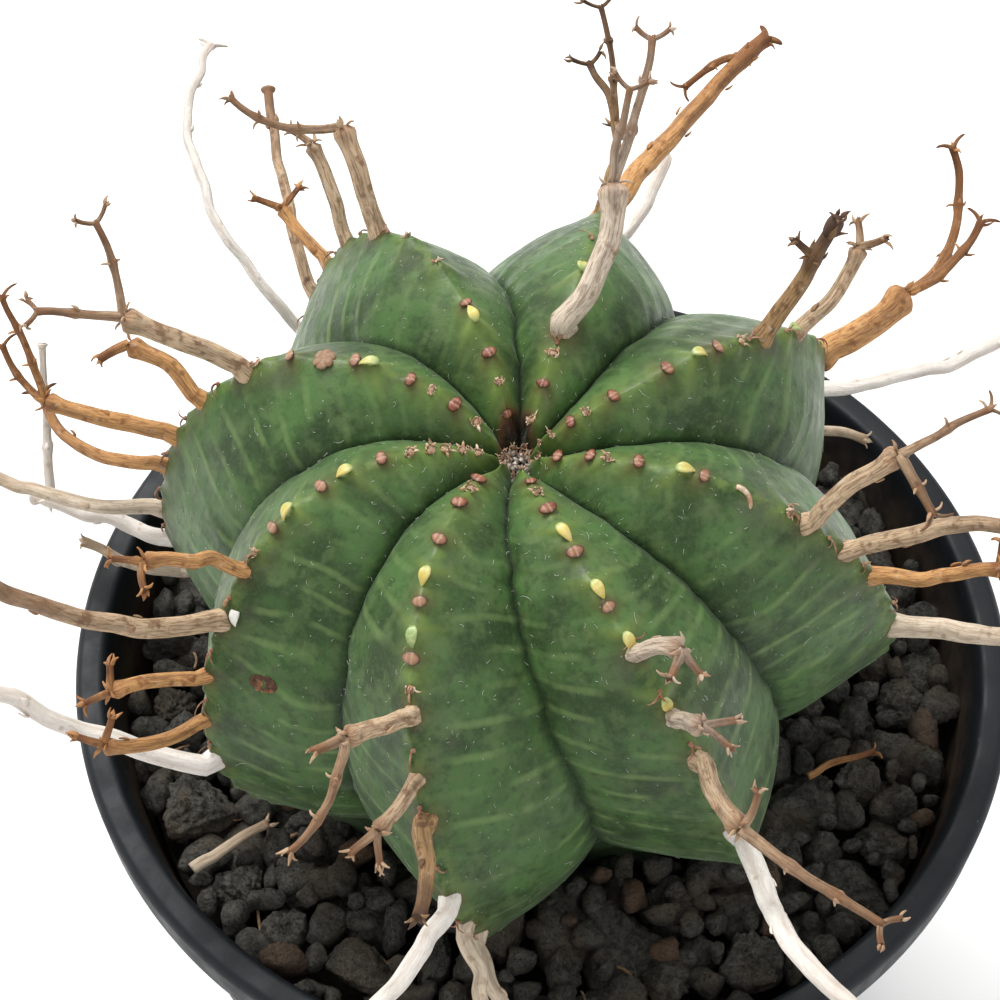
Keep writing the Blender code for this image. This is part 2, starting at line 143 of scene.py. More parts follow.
# Dry stalks: height is the foot's angle from the top; rise and turn are the start and end
# directions, above level and round from the rib's own; finish names a material and tip the
# way the end is broken. A fork leaves its stalk at a share of the length.
Stalk = namedtuple("Stalk", "name rib height length rise turn width forks finish tip")
Fork = namedtuple("Fork", "at length rise turn width")
STALKS = (
    Stalk("a1", "a", 70, 7, (40, 15), (-40, -35), 1.6,
          (Fork(1.0, 3, (-5, -5), (-45, -50), 1.2), Fork(1.0, 11, (-30, -15), (15, -35), 1.1)),
          "tan", "torn"),
    Stalk("a2", "a", 79, 7, (10, 20), (-5, -15), 1.3,
          (Fork(1.0, 3, (-15, -15), (-40, -40), 1.0), Fork(1.0, 3, (-35, -35), (5, 20), 0.9)), "tan", "star"),
    Stalk("a3", "a", 86, 9, (15, 5), (20, 5), 2.0, (), "bark", "torn"),
    Stalk("a4", "a", 100, 22, (10, 20), (-15, -35), 1.9, (), "white", "round"),
    Stalk("a5", "a", 107, 19, (0, 10), (25, 0), 1.6, (), "cream", "round"),
    Stalk("a6", "a", 112, 18, (-5, 5), (35, 5), 1.5, (), "cream", "round"),
    Stalk("b1", "b", 62, 5, (50, 25), (50, 30), 1.5,
          (Fork(1.0, 3, (-30, -25), (10, 25), 1.0), Fork(1.0, 3, (-10, -5), (-50, -50), 1.0)), "ash", "star"),
    Stalk("b2", "b", 73, 4, (60, 30), (20, 20), 1.5,
          (Fork(1.0, 3, (10, 5), (70, 65), 1.0), Fork(1.0, 3, (-10, -15), (30, 25), 1.0)), "ash", "torn"),
    Stalk("b3", "b", 81, 8, (10, 15), (-20, 5), 1.8,
          (Fork(1.0, 4, (25, 30), (105, 145), 1.0), Fork(1.0, 14, (-15, -5), (25, 30), 1.3)), "tan", "tee"),
    Stalk("b4", "b", 97, 28, (25, 35), (-30, 0), 2.0, (), "white", "round"),
    Stalk("c1", "c", 66, 12, (75, 45), (15, 10), 1.8,
          (Fork(1.0, 9, (20, 15), (35, 40), 1.0), Fork(1.0, 6, (-20, -30), (-35, -40), 1.2)), "tan", "fork"),
    Stalk("c2", "c", 75, 22, (50, 20), (0, -10), 1.8, (), "tan", "fork"),
    Stalk("c3", "c", 83, 17, (25, 35), (-10, 10), 1.7,
          (Fork(0.7, 3, (40, 40), (95, 95), 0.9), Fork(0.7, 3, (-30, -30), (-60, -60), 0.9)), "rust", "torn"),
    Stalk("c4", "c", 99, 18, (10, 10), (0, 0), 2.1, (), "cream", "round"),
    Stalk("d1", "d", 60, 12, (60, 75), (-5, -5), 1.9,
          (Fork(0.8, 3, (45, 45), (135, 135), 1.0),), "bark", "capsule"),
    Stalk("d2", "d", 70, 9, (35, 50), (0, 30), 1.6,
          (Fork(1.0, 3, (20, 20), (55, 75), 1.0), Fork(1.0, 3, (30, 50), (-40, -35), 1.0)), "tan", "fork"),
    Stalk("d3", "d", 89, 10, (5, 15), (-10, 15), 2.8,
          (Fork(1.0, 18, (-5, 50), (-5, 80), 1.3), Fork(1.0, 11, (5, 45), (-15, 25), 1.3)), "rust", "fork"),
    Stalk("d4", "d", 105, 28, (-10, 5), (-25, -5), 1.8, (), "white", "round"),
    Stalk("d5", "d", 115, 9, (5, -5), (-30, -60), 1.3, (), "cream", "torn"),
    Stalk("e1", "e", 34, 14, (30, 40), (-35, 30), 2.2,
          (Fork(1.0, 14, (30, 30), (-5, 15), 1.2), Fork(1.0, 9, (45, 50), (15, 0), 1.1)), "ash", "tee"),
    Stalk("e2", "e", 92, 33, (5, 5), (-20, -30), 2.7,
          (Fork(0.9, 8, (10, -30), (120, 140), 1.1),), "rust", "fork"),
    Stalk("e3", "e", 103, 20, (-5, 10), (-25, -15), 1.9, (), "white", "round"),
    Stalk("e4", "e", 75, 17, (15, 15), (-10, 45), 1.2,
          (Fork(0.6, 12, (40, 25), (15, 30), 0.9),), "bark", "tee"),
    Stalk("f1", "f", 68, 10, (50, 50), (5, 0), 1.8,
          (Fork(1.0, 12, (-10, 20), (75, 20), 1.1),), "tan", "torn"),
    Stalk("f2", "f", 79, 9, (40, 40), (-5, 0), 1.4,
          (Fork(1.0, 3, (30, 20), (35, 45), 1.0),), "tan", "torn"),
    Stalk("f3", "f", 88, 7, (5, 15), (15, 0), 1.3,
          (Fork(1.0, 3, (15, 15), (45, 45), 0.9), Fork(1.0, 3, (10, 15), (-70, -65), 0.9)), "rust", "star"),
    Stalk("f4", "f", 96, 24, (20, 5), (-15, -25), 1.4, (), "tan", "cup"),
    Stalk("f5", "f", 105, 39, (40, -10), (25, -55), 1.25, (), "white", "fork"),
    Stalk("g1", "g", 67, 12, (35, 35), (20, 20), 2.0,
          (Fork(1.0, 8, (10, 10), (20, 25), 1.1), Fork(1.0, 9, (40, 45), (-65, -35), 1.0)), "tan", "tee"),
    Stalk("g2", "g", 78, 8, (40, 15), (-25, 10), 1.7,
          (Fork(1.0, 3, (-10, -25), (30, 45), 1.3),), "rust", "torn"),
    Stalk("g3", "g", 88, 12, (10, 15), (10, 5), 1.6,
          (Fork(1.0, 11, (45, 40), (-55, -35), 1.0), Fork(1.0, 7, (20, 35), (0, -55), 1.0)), "rust", "fork"),
    Stalk("g4", "g", 95, 17, (-15, 5), (10, -55), 1.6, (), "rust", "fork"),
    Stalk("g5", "g", 104, 22, (-10, 5), (5, -20), 1.7, (), "cream", "round"),
    Stalk("g6", "g", 110, 15, (-5, -5), (-5, -20), 1.7,
          (Fork(0.9, 16, (35, 45), (-75, -75), 1.1),), "white", "cup"),
    Stalk("g7", "g", 117, 11, (15, 25), (15, -5), 1.3, (), "cream", "torn"),
    Stalk("h1", "h", 70, 11, (55, 25), (-5, 10), 1.4,
          (Fork(1.0, 3, (10, 5), (-30, -20), 0.9), Fork(1.0, 3, (-10, -5), (50, 90), 0.9)), "rust", "star"),
    Stalk("h2", "h", 79, 28, (35, 60), (15, -10), 2.0, (), "tan", "round"),
    Stalk("h3", "h", 89, 9, (35, 20), (-5, 5), 1.4,
          (Fork(1.0, 3, (35, 30), (-125, -120), 0.9), Fork(1.0, 3, (-25, -25), (-30, -25), 0.9)),
          "rust", "fork"),
    Stalk("h4", "h", 97, 10, (10, 40), (15, -20), 1.4,
          (Fork(1.0, 3, (30, 30), (-135, -130), 0.9), Fork(1.0, 3, (20, 15), (-40, -45), 0.9)),
          "rust", "fork"),
    Stalk("h5", "h", 105, 25, (20, 45), (-35, -50), 2.1, (), "white", "round"),
)
PALE_FINISHES = ("cream", "white")
FOOT_RISE = 1.1
FORK_WIDTH = 0.88
FORK_TAPER = 0.66

# Fallen twigs: start and end as azimuth, distance from the axis and height over the mix
Twig = namedtuple("Twig", "name start end width finish")
TWIGS = (
    Twig("1", (-54.4, 41.6, 6.2), (-55.4, 32.8, 6.4), 1.2, "cream"),
    Twig("2", (65.7, 29.6, 6.6), (75.1, 35.2, 6.8), 0.8, "rust"),
)

# Grit: the named stones' nodes, the grades of loose stones, the flats that cut each, and
# how many spots between two distances from the pot's axis each stone tries
STONE_NODES = sorted(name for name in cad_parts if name.startswith("lava_stone_"))
COARSE_SIZES = (5.0, 9.0)
FINE_SIZES = (1.8, 4.8)
STONE_FLATS = 9
PACK_TRIES = 70
PACK_REACH = (20, 43)


# ---------------------------------------------------------------- settings
class PotSettings(bpy.types.PropertyGroup):
    """Sizes and colour of the nursery pot."""

    edge_round: FloatProperty(
        name="Edge rounding", description="Radius of the moulded edges, in millimetres",
        default=1.3, min=0.1, max=2.0)
    plastic: FloatVectorProperty(
        name="Plastic", description="Colour of the pot", subtype="COLOR", size=3,
        default=(0.0065, 0.0085, 0.0115), min=0.0, max=1.0)


class StemSettings(bpy.types.PropertyGroup):
    """Shape and colours of the ribbed green stem."""

    furrow: FloatProperty(
        name="Furrow depth", description="Share of the radius lost in a furrow",
        default=0.20, min=0.05, max=0.4, subtype="FACTOR")
    tooth: FloatProperty(
        name="Tooth height", description="Height of the crest's teeth, in millimetres",
        default=0.45, min=0.0, max=1.0)
    band_spacing: FloatProperty(
        name="Band spacing", description="Distance between the pale bands, in millimetres",
        default=3.4, min=1.0, max=8.0)
    green: FloatVectorProperty(
        name="Green", description="Main colour of the skin", subtype="COLOR", size=3,
        default=(0.040, 0.088, 0.023), min=0.0, max=1.0)
    band_green: FloatVectorProperty(
        name="Band green", description="Colour of the pale bands", subtype="COLOR", size=3,
        default=(0.155, 0.236, 0.080), min=0.0, max=1.0)


class StalkSettings(bpy.types.PropertyGroup):
    """Detail of the dry flower stalks."""

    ring_step: FloatProperty(
        name="Ring step", description="Distance between rings along a stalk, in millimetres",
        default=0.45, min=0.2, max=2.0)
    sides: IntProperty(
        name="Sides", description="Corners round a stalk", default=16, min=6, max=32)
    wrinkle: FloatProperty(
        name="Wrinkle", description="Strength of the ridges along a stalk",
        default=0.65, min=0.0, max=2.0, subtype="FACTOR")


class GritSettings(bpy.types.PropertyGroup):
    """Size and number of the loose lava stones."""

    bed_height: FloatProperty(
        name="Bed", description="Height of the fine bed under the stones, in millimetres",
        default=66.4, min=60.0, max=70.0)
    coarse: IntProperty(
        name="Coarse stones", description="Number of coarse stones tried", default=150, min=0, max=400)
    fine: IntProperty(
        name="Fine stones", description="Number of fine stones tried", default=620, min=0, max=2000)
    top: FloatProperty(
        name="Top", description="Highest that packed stones reach, in millimetres",
        default=75.0, min=70.0, max=79.0)


class StageSettings(bpy.types.PropertyGroup):
    """Light and camera."""

    sky: FloatProperty(
        name="Sky", description="Brightness of the even light", default=0.85, min=0.0, max=4.0)
    key: FloatProperty(
        name="Key light", description="Power of the large lamp, in watts",
        default=10.5, min=0.0, max=100.0)
    fill: FloatProperty(
        name="Fill light", description="Power of the small lamp, in watts",
        default=0.8, min=0.0, max=100.0)


# ---------------------------------------------------------------- numbers on a surface
def lattice(cells, seed):
    """Random number from 0 to 1 for each whole-number cell: its three indices scrambled."""
    value = cells[..., 0] * 374761393 + cells[..., 1] * 668265263
    value = (value + cells[..., 2] * 1442695041 + seed * 1013904223) & 0xFFFFFFFF
    value = ((value ^ (value >> 13)) * 1274126177) & 0xFFFFFFFF
    return (value ^ (value >> 16)) / 0xFFFFFFFF


def noise(points, size, seed=0):
    """Smooth random number from -1 to 1: lattice numbers a size apart, eased between cells."""
    place = np.asarray(points, float) / size
    cell = np.floor(place).astype(np.int64)
    part = place - cell
    part = part * part * (3.0 - 2.0 * part)
    total = np.zeros(place.shape[:-1])
    for corner in itertools.product((0, 1), repeat=3):
        weight = np.prod(np.where(corner, part, 1.0 - part), axis=-1)
        total += weight * lattice(cell + np.array(corner), seed)
    return 2.0 * total - 1.0


def unit(vectors):
    """Vectors of length one, along the last axis."""
    vectors = np.asarray(vectors, float)
    return vectors / np.maximum(np.linalg.norm(vectors, axis=-1, keepdims=True), 1e-9)


def bell(distance, width):
    """Rounded hump: one at nothing, falling off over a width."""
    return np.exp(-((distance / width) ** 2))


def heading(rise, azimuth):
    """Direction from its rise above level and its azimuth, zero to the front, turning right."""
    rise = np.radians(rise)
    azimuth = np.radians(azimuth)
    return np.stack(
        (np.cos(rise) * np.sin(azimuth), -np.cos(rise) * np.cos(azimuth), np.sin(rise) + 0 * azimuth), -1)


def new_object(name, data):
    """Object in the scene for a mesh, a lamp or a camera."""
    piece = bpy.data.objects.new(name, data)
    bpy.context.scene.collection.objects.link(piece)
    return piece


class Shells:
    """Closed surfaces gathered for one mesh: rings of points whose two ends close to a point."""

    def __init__(self):
        self.points = []
        self.quads = []
        self.tris = []
        self.marks = {}
        self.count = 0

    def add(self, rings, first=None, last=None, **marks):
        """Join rings (rows x columns x 3) in order; marks are numbers, or vectors where they
        have three dimensions, kept for each point."""
        rows, columns = rings.shape[:2]
        first = rings[0].mean(0) if first is None else np.asarray(first, float)
        last = rings[-1].mean(0) if last is None else np.asarray(last, float)
        row, column = np.meshgrid(np.arange(rows - 1), np.arange(columns), indexing="ij")
        a = self.count + row * columns + column
        b = self.count + row * columns + (column + 1) % columns
        self.quads.append(np.stack((a, b, b + columns, a + columns), -1).reshape(-1, 4))
        ring = np.arange(columns)
        after = (ring + 1) % columns
        top = self.count + (rows - 1) * columns
        pole = np.full(columns, self.count + rows * columns)
        self.tris.append(np.stack((pole, self.count + after, self.count + ring), -1))
        self.tris.append(np.stack((pole + 1, top + ring, top + after), -1))
        self.points.append(np.vstack((rings.reshape(-1, 3), first, last)))
        for name, value in marks.items():
            value = np.asarray(value, float)
            shape = (rows, columns, 3) if value.ndim == 3 else (rows, columns)
            flat = np.broadcast_to(value, shape).reshape(rows * columns, -1)
            ends = np.stack((flat[:columns].mean(0), flat[-columns:].mean(0)))
            self.marks.setdefault(name, []).append(np.vstack((flat, ends)))
        self.count += rows * columns + 2

    def mesh(self, name):
        """Mesh of all the shells, in metres."""
        mesh = bpy.data.meshes.new(name)
        faces = np.vstack(self.quads).tolist() + np.vstack(self.tris).tolist()
        mesh.from_pydata((np.vstack(self.points) * MM).tolist(), [], faces)
        return mesh

    def make(self, name, material, slot, *nodes):
        """One smooth object of all the shells, riding on the root body."""
        mesh = self.mesh(name)
        mesh.shade_smooth()
        for mark, values in self.marks.items():
            values = np.vstack(values)
            vector = values.shape[1] == 3
            layer = mesh.attributes.new(mark, "FLOAT_VECTOR" if vector else "FLOAT", "POINT")
            layer.data.foreach_set("vector" if vector else "value", values.astype(np.float32).ravel())
        mesh.materials.append(material)
        piece = new_object(name, mesh)
        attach(piece, "root")
        if nodes:
            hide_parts(*nodes)
        return piece


def directions_along(line):
    """Direction of a line at each of its points."""
    return unit(np.gradient(line, axis=0))


def sweep(line, half_width, half_depth, sides, side=None, swell=None):
    """Rings carried along a line: each is an ellipse square to it, its width along the side
    vector that stays most nearly square to the whole line. swell scales single points."""
    ways = directions_along(line)
    if side is None:
        side = np.linalg.svd(ways, full_matrices=True)[2][-1]
    sides_here = unit(side - ways * (ways @ side)[:, None])
    across = np.cross(ways, sides_here)
    angle = np.arange(sides) * math.tau / sides
    wide = np.multiply.outer(half_width * np.ones(len(line)), np.cos(angle))
    deep = np.multiply.outer(half_depth * np.ones(len(line)), np.sin(angle))
    if swell is not None:
        wide = wide * swell
        deep = deep * swell
    return line[:, None] + wide[..., None] * sides_here[:, None] + deep[..., None] * across[:, None]


def bent_line(start, azimuth, length, rise, turn, steps):
    """Line of even steps whose rise and turn change evenly from start to end values."""
    share = (np.arange(steps) + 0.5) / steps
    ways = heading(rise[0] + (rise[1] - rise[0]) * share, azimuth + turn[0] + (turn[1] - turn[0]) * share)
    return np.vstack((start, start + np.cumsum(ways * length / steps, axis=0)))


def curl(start, way, towards, length, bend, steps):
    """Line that leaves along one direction and bends by an angle towards another."""
    way = unit(way)
    towards = unit(towards - way * np.dot(towards, way))
    angle = np.radians(bend) * (np.arange(steps) + 0.5) / steps
    ways = np.cos(angle)[:, None] * way + np.sin(angle)[:, None] * towards
    return np.vstack((start, start + np.cumsum(ways * length / steps, axis=0)))


def blade(shells, line, half_width, half_depth, sides=8, side=None, blunt=0.35, **marks):
    """Thin pointed leaf-like flake: narrow at the foot, widest before the middle, sharp tip."""
    share = np.linspace(0, 1, len(line))
    shape = (blunt + (1 - blunt) * np.sin(np.pi * share ** 0.7)) * (1 - share ** 3) + 0.04
    rings = sweep(line, half_width * shape, half_depth * (0.5 + 0.5 * shape), sides, side)
    shells.add(rings, first=line[0], last=line[-1], **marks)


def ball(rows, columns):
    """Unit ball as level rings from the bottom up, by polar angle and angle round."""
    polar = np.linspace(np.pi, 0, rows + 2)[1:-1, None]
    angle = np.arange(columns)[None] * math.tau / columns
    return np.stack(
        (np.sin(polar) * np.cos(angle), np.sin(polar) * np.sin(angle), np.cos(polar) + 0 * angle), -1)


def lump(shells, centre, axes, rows=7, columns=10, rough=0.15, seed=0, **marks):
    """Uneven ball: a sphere stretched along three axes, its radius varied by noise. The
    second axis is turned round where the three are left-handed, so faces point outwards."""
    axes = np.array(axes, float)
    axes[1] *= np.sign(np.linalg.det(axes))
    sphere = ball(rows, columns)
    radius = 1.0 + rough * noise(sphere + 7.3 * seed, 0.8, seed)
    rings = centre + (sphere * radius[..., None]) @ axes
    shells.add(rings, first=centre - axes[2], last=centre + axes[2], **marks)


# ---------------------------------------------------------------- stem shape
AZIMUTHS = np.array([rib.azimuth for rib in RIBS] + [RIBS[0].azimuth + 360.0])
SCALES = np.array([rib.scale for rib in RIBS] + [RIBS[0].scale])
TWISTS = np.array([rib.twist for rib in RIBS] + [RIBS[0].twist])
REACHES = np.array(CREST_RADII)


def crest_radius(polar):
    """Distance of a crest from the stem's centre: smooth cubic through CREST_RADII."""
    place = (np.asarray(polar, float) - CREST_FIRST) / CREST_STEP
    i = np.clip(place.astype(int), 1, len(REACHES) - 3)
    t = place - i
    a, b, c, d = (REACHES[i + k] for k in (-1, 0, 1, 2))
    return b + 0.5 * t * (c - a + t * (2 * a - 5 * b + 4 * c - d + t * (3 * (b - c) + d - a)))


ARC_POLAR = np.linspace(0, SKIRT_POLAR + 10, 1401)
ARC_POINTS = np.stack((crest_radius(ARC_POLAR) * np.sin(np.radians(ARC_POLAR)),
                       crest_radius(ARC_POLAR) * np.cos(np.radians(ARC_POLAR))), -1)
ARC_LENGTH = np.append(0, np.cumsum(np.linalg.norm(np.diff(ARC_POINTS, axis=0), axis=1)))


def arc(polar):
    """Length along a crest from the crown down to an angle."""
    return np.interp(polar, ARC_POLAR, ARC_LENGTH)


def furrow_way(turn):
    """Share of the way from the nearest crest (0) to the furrow (1) beside it."""
    return 1.0 - np.abs(2.0 * (turn - np.floor(turn)) - 1.0)


def crest_distances(turn, polar):
    """Number of the nearest rib, distance across from its crest and place along it."""
    nearest = np.round(turn).astype(int)
    half = crest_radius(polar) * np.sin(np.radians(polar)) * math.pi / RIB_COUNT
    return nearest % RIB_COUNT, np.abs(turn - nearest) * 2 * half, arc(polar)


def crest_marks(turn, polar, settings):
    """Height added near the crests: a swelling under each bud, a shoulder over each leaflet,
    a cushion at each stalk's foot and, on the lower crests, a row of teeth."""
    nearest, lateral, place = crest_distances(turn, polar)
    height = np.zeros(np.broadcast(turn, polar).shape)
    for number, rib in enumerate(RIBS):
        mine = nearest == number
        for bud in rib.buds:
            height += mine * 0.62 * bell(place - arc(bud) + 0.3, 0.95) * bell(lateral, 1.2)
        for leaflet in rib.leaflets + rib.scars:
            height += mine * 0.66 * bell(place - arc(leaflet) + 0.5, 0.75) * bell(lateral, 1.35)
        for stalk in STALKS:
            if stalk.rib == rib.name:
                height += mine * 0.30 * bell(place - arc(stalk.height), 1.3) * bell(lateral, 1.5)
    period = arc(TOOTH_NEXT) - arc(TOOTH_FIRST)
    saw = (place - arc(TOOTH_FIRST)) * 2 / period + 0.25
    saw = np.abs((saw % 1.0) - 0.5) * 2.0
    toothed = np.clip((polar - TEETH_START) / 12, 0, 1)
    height += settings.tooth * toothed * (saw - 0.5) * bell(lateral, 0.8)
    return height


def skin(turn, polar, settings):
    """Point of the green skin for a turn round the ribs (whole numbers are crests) and an
    angle from the top. The radius is the crest's, blended between ribs and lowered towards
    the furrow by a power of the way there and a steeper one that opens a narrow groove; the
    power falls down the stem, so crests are round above and keen below. Slow noise bends the
    furrows and swells the faces, the crests carry their marks, and the crown its lobes and
    its cleft."""
    turn, polar = np.broadcast_arrays(np.asarray(turn, float), np.asarray(polar, float))
    whole = np.floor(turn).astype(int)
    share = turn - whole
    rib = whole % RIB_COUNT
    lean = polar - TWIST_POLAR
    start = AZIMUTHS[rib] + TWISTS[rib] * lean
    stop = AZIMUTHS[rib + 1] + TWISTS[rib + 1] * lean
    scale = SCALES[rib] + (SCALES[rib + 1] - SCALES[rib]) * share
    way = furrow_way(turn)
    radius = crest_radius(polar) * scale
    azimuth = start + (stop - start) * share
    waver = np.stack((rib * 37.0 + 0 * polar, polar * 0.30, 0 * polar), -1)
    azimuth = azimuth + (0.9 * noise(waver, 2.0, 3) + 0.5 * noise(waver, 0.8, 4)) * way ** 3
    power = np.interp(polar, SLOPE_POLARS, SLOPE_POWERS)
    steep = np.interp(polar, SLOPE_POLARS, GROOVE_SHARES)
    deep = settings.furrow * np.interp(polar, DEPTH_POLARS, DEPTHS)
    soft = (np.hypot(way, CREST_ROUND) - CREST_ROUND) / (math.hypot(1.0, CREST_ROUND) - CREST_ROUND)
    radius = radius * (1.0 - deep * ((1.0 - steep) * soft ** power + steep * way ** 7))
    angle = np.radians(polar)
    level = np.radians(azimuth)
    out = np.stack((np.sin(angle) * np.sin(level), -np.sin(angle) * np.cos(level), np.cos(angle)), -1)
    point = STEM_MIDDLE + out * radius[..., None]
    fade = np.clip(polar / 25, 0, 1)
    swell = 0.35 * noise(point, 9.0, 1) + 0.12 * noise(point, 3.5, 2)
    bands = 0.05 * np.sin(band_phase(turn, polar, settings) * math.tau) * way * (1 - way ** 6)
    swell = fade * (swell * np.clip(way * 3, 0.25, 1) + bands)
    swell = swell + crest_marks(turn, polar, settings) * np.clip(polar / 10, 0, 1)
    lobe = bell(polar - LOBE_POLAR, 3.0) * np.cos(way * math.pi / 2) ** 2
    swell = swell + LOBE_HEIGHT * lobe + 0.22 * noise(point, 1.3, 6) * bell(polar, 16.0)
    swell = swell - CLEFT_DEPTH * crown_cleft(point)
    return point + out * swell[..., None]


def crown_cleft(point):
    """Share of the cleft behind the growing point, a long oval seen from above: the skin sinks there, turns
    brown, and is darkened near black in its middle as painted shade.
    """
    across = (point[..., 0] - CLEFT_CENTRE[0]) / CLEFT_REACH[0]
    along = (point[..., 1] - CLEFT_CENTRE[1]) / CLEFT_REACH[1]
    high = np.clip((point[..., 2] - STEM_CENTRE) / 3.0, 0, 1)
    ragged = 1.0 + 0.35 * noise(point, 0.9, 8)
    return high * np.exp(-((across ** 2 + along ** 2) * ragged) ** 1.5)


def band_phase(turn, polar, settings):
    """Count of pale bands down the rib, drifting with noise and sloping a little to the furrow."""
    way = furrow_way(turn)
    where = np.stack((np.floor(turn * 2) * 11.0 + way * 1.5, arc(polar) / 9.0, 0 * polar), -1)
    return arc(polar) / settings.band_spacing - 0.45 * way + 0.55 * noise(where, 1.0, 5)


def skin_frame(turn, polar, settings):
    """Point on the skin with its outward, downward and sideways directions."""
    point = skin(turn, polar, settings)
    down = unit(skin(turn, polar + 0.8, settings) - skin(turn, polar - 0.8, settings))
    aside = unit(skin(turn + 0.05, polar, settings) - skin(turn - 0.05, polar, settings))
    out = unit(np.cross(down, aside))
    aside = np.cross(out, down)
    return point, out, down, aside


def spot_frame(turn, polar, settings):
    """Point and directions of a single spot of the skin."""
    return skin_frame(np.array(float(turn)), np.array(float(polar)), settings)


def crest_place(rib, polar):
    """Point on a rib's crest, its azimuth, and the slope of the outward direction."""
    number = RIB_NUMBER[rib]
    scale = SCALES[number]
    reach = float(crest_radius(polar)) * scale
    angle = math.radians(polar)
    azimuth = AZIMUTHS[number] + TWISTS[number] * (polar - TWIST_POLAR)
    slope = float(crest_radius(polar + 1) - crest_radius(polar - 1)) * scale / math.radians(2)
    out_r = reach * math.sin(angle) - slope * math.cos(angle)
    out_z = reach * math.cos(angle) + slope * math.sin(angle)
    level = math.radians(azimuth)
    r = reach * math.sin(angle)
    point = STEM_MIDDLE + (r * math.sin(level), -r * math.cos(level), reach * math.cos(angle))
    return point, azimuth, math.degrees(math.atan2(out_z, out_r))


# ---------------------------------------------------------------- materials
class Finish:
    """Principled material and short ways to add the nodes of its pattern."""

    def __init__(self, name, roughness=0.6, specular=0.5):
        self.material = bpy.data.materials.new(name)
        self.material.use_nodes = True
        self.tree = self.material.node_tree
        self.shader = self.tree.nodes["Principled BSDF"]
        self.shader.inputs["Roughness"].default_value = roughness
        self.shader.inputs["Specular IOR Level"].default_value = specular
        self.here = self.tree.nodes.new("ShaderNodeTexCoord").outputs["Object"]

    def link(self, value, socket):
        """Connect an output, or set a constant."""
        if isinstance(value, bpy.types.NodeSocket):
            self.tree.links.new(value, socket)
        elif hasattr(value, "__len__") and len(value) == 3 and socket.type == "RGBA":
            socket.default_value = (*value, 1.0)
        else:
            socket.default_value = value

    def mark(self, name, vector=False):
        """Number or vector kept on the mesh."""
        node = self.tree.nodes.new("ShaderNodeAttribute")
        node.attribute_name = name
        return node.outputs["Vector" if vector else "Fac"]

    def cloud(self, size, detail=3.0, at=None, rough=0.55):
        """Noise from 0 to 1 with features of a size in millimetres."""
        node = self.tree.nodes.new("ShaderNodeTexNoise")
        node.inputs["Scale"].default_value = 1.0 / (size * MM) if at is None else 1.0 / size
        node.inputs["Detail"].default_value = detail
        node.inputs["Roughness"].default_value = rough
        self.link(self.here if at is None else at, node.inputs["Vector"])
        return node.outputs["Fac"]

    def cells(self, size):
        """Distance to scattered points a size in millimetres apart."""
        node = self.tree.nodes.new("ShaderNodeTexVoronoi")
        node.inputs["Scale"].default_value = 1.0 / (size * MM)
        self.link(self.here, node.inputs["Vector"])
        return node.outputs["Distance"]

    def maths(self, operation, a, b=0.0):
        """One arithmetic step."""
        node = self.tree.nodes.new("ShaderNodeMath")
        node.operation = operation
        self.link(a, node.inputs[0])
        self.link(b, node.inputs[1])
        return node.outputs[0]

    def ease(self, value, low, high, to_low=0.0, to_high=1.0):
        """Value taken smoothly from one range to another and held beyond it."""
        node = self.tree.nodes.new("ShaderNodeMapRange")
        node.interpolation_type = "SMOOTHSTEP"
        self.link(value, node.inputs["Value"])
        for socket, number in zip(("From Min", "From Max", "To Min", "To Max"), (low, high, to_low, to_high)):
            node.inputs[socket].default_value = number
        return node.outputs["Result"]

    def times(self, a, b):
        """Product of two values."""
        return self.maths("MULTIPLY", a, b)

    def mix(self, share, a, b):
        """Blend of two colours."""
        node = self.tree.nodes.new("ShaderNodeMix")
        node.data_type = "RGBA"
        self.link(share, node.inputs[0])
        self.link(a, node.inputs[6])
        self.link(b, node.inputs[7])
        return node.outputs[2]

    def start(self, share, a, b):
        """Begin the colour as a blend of two."""
        self.base = self.mix(share, a, b)

    def coat(self, share, colour):
        """Lay another colour over the colour so far, by a share."""
        self.base = self.mix(share, self.base, colour)

    def colour(self):
        """Use the colour so far."""
        self.link(self.base, self.shader.inputs["Base Color"])

    def roughness(self, size, detail, low, high):
        """Gloss that varies in clouds of a size in millimetres."""
        cloudy = self.ease(self.cloud(size, detail), 0.3, 0.7, low, high)
        self.link(cloudy, self.shader.inputs["Roughness"])

    def bump(self, height, millimetres, strength=1.0):
        """Fine relief of a depth in millimetres."""
        node = self.tree.nodes.new("ShaderNodeBump")
        node.inputs["Strength"].default_value = strength
        node.inputs["Distance"].default_value = millimetres * MM
        self.link(height, node.inputs["Height"])
        self.link(node.outputs["Normal"], self.shader.inputs["Normal"])


def shade(colour, factor):
    """Colour made darker or lighter by a factor."""
    return tuple(factor * c for c in colour)


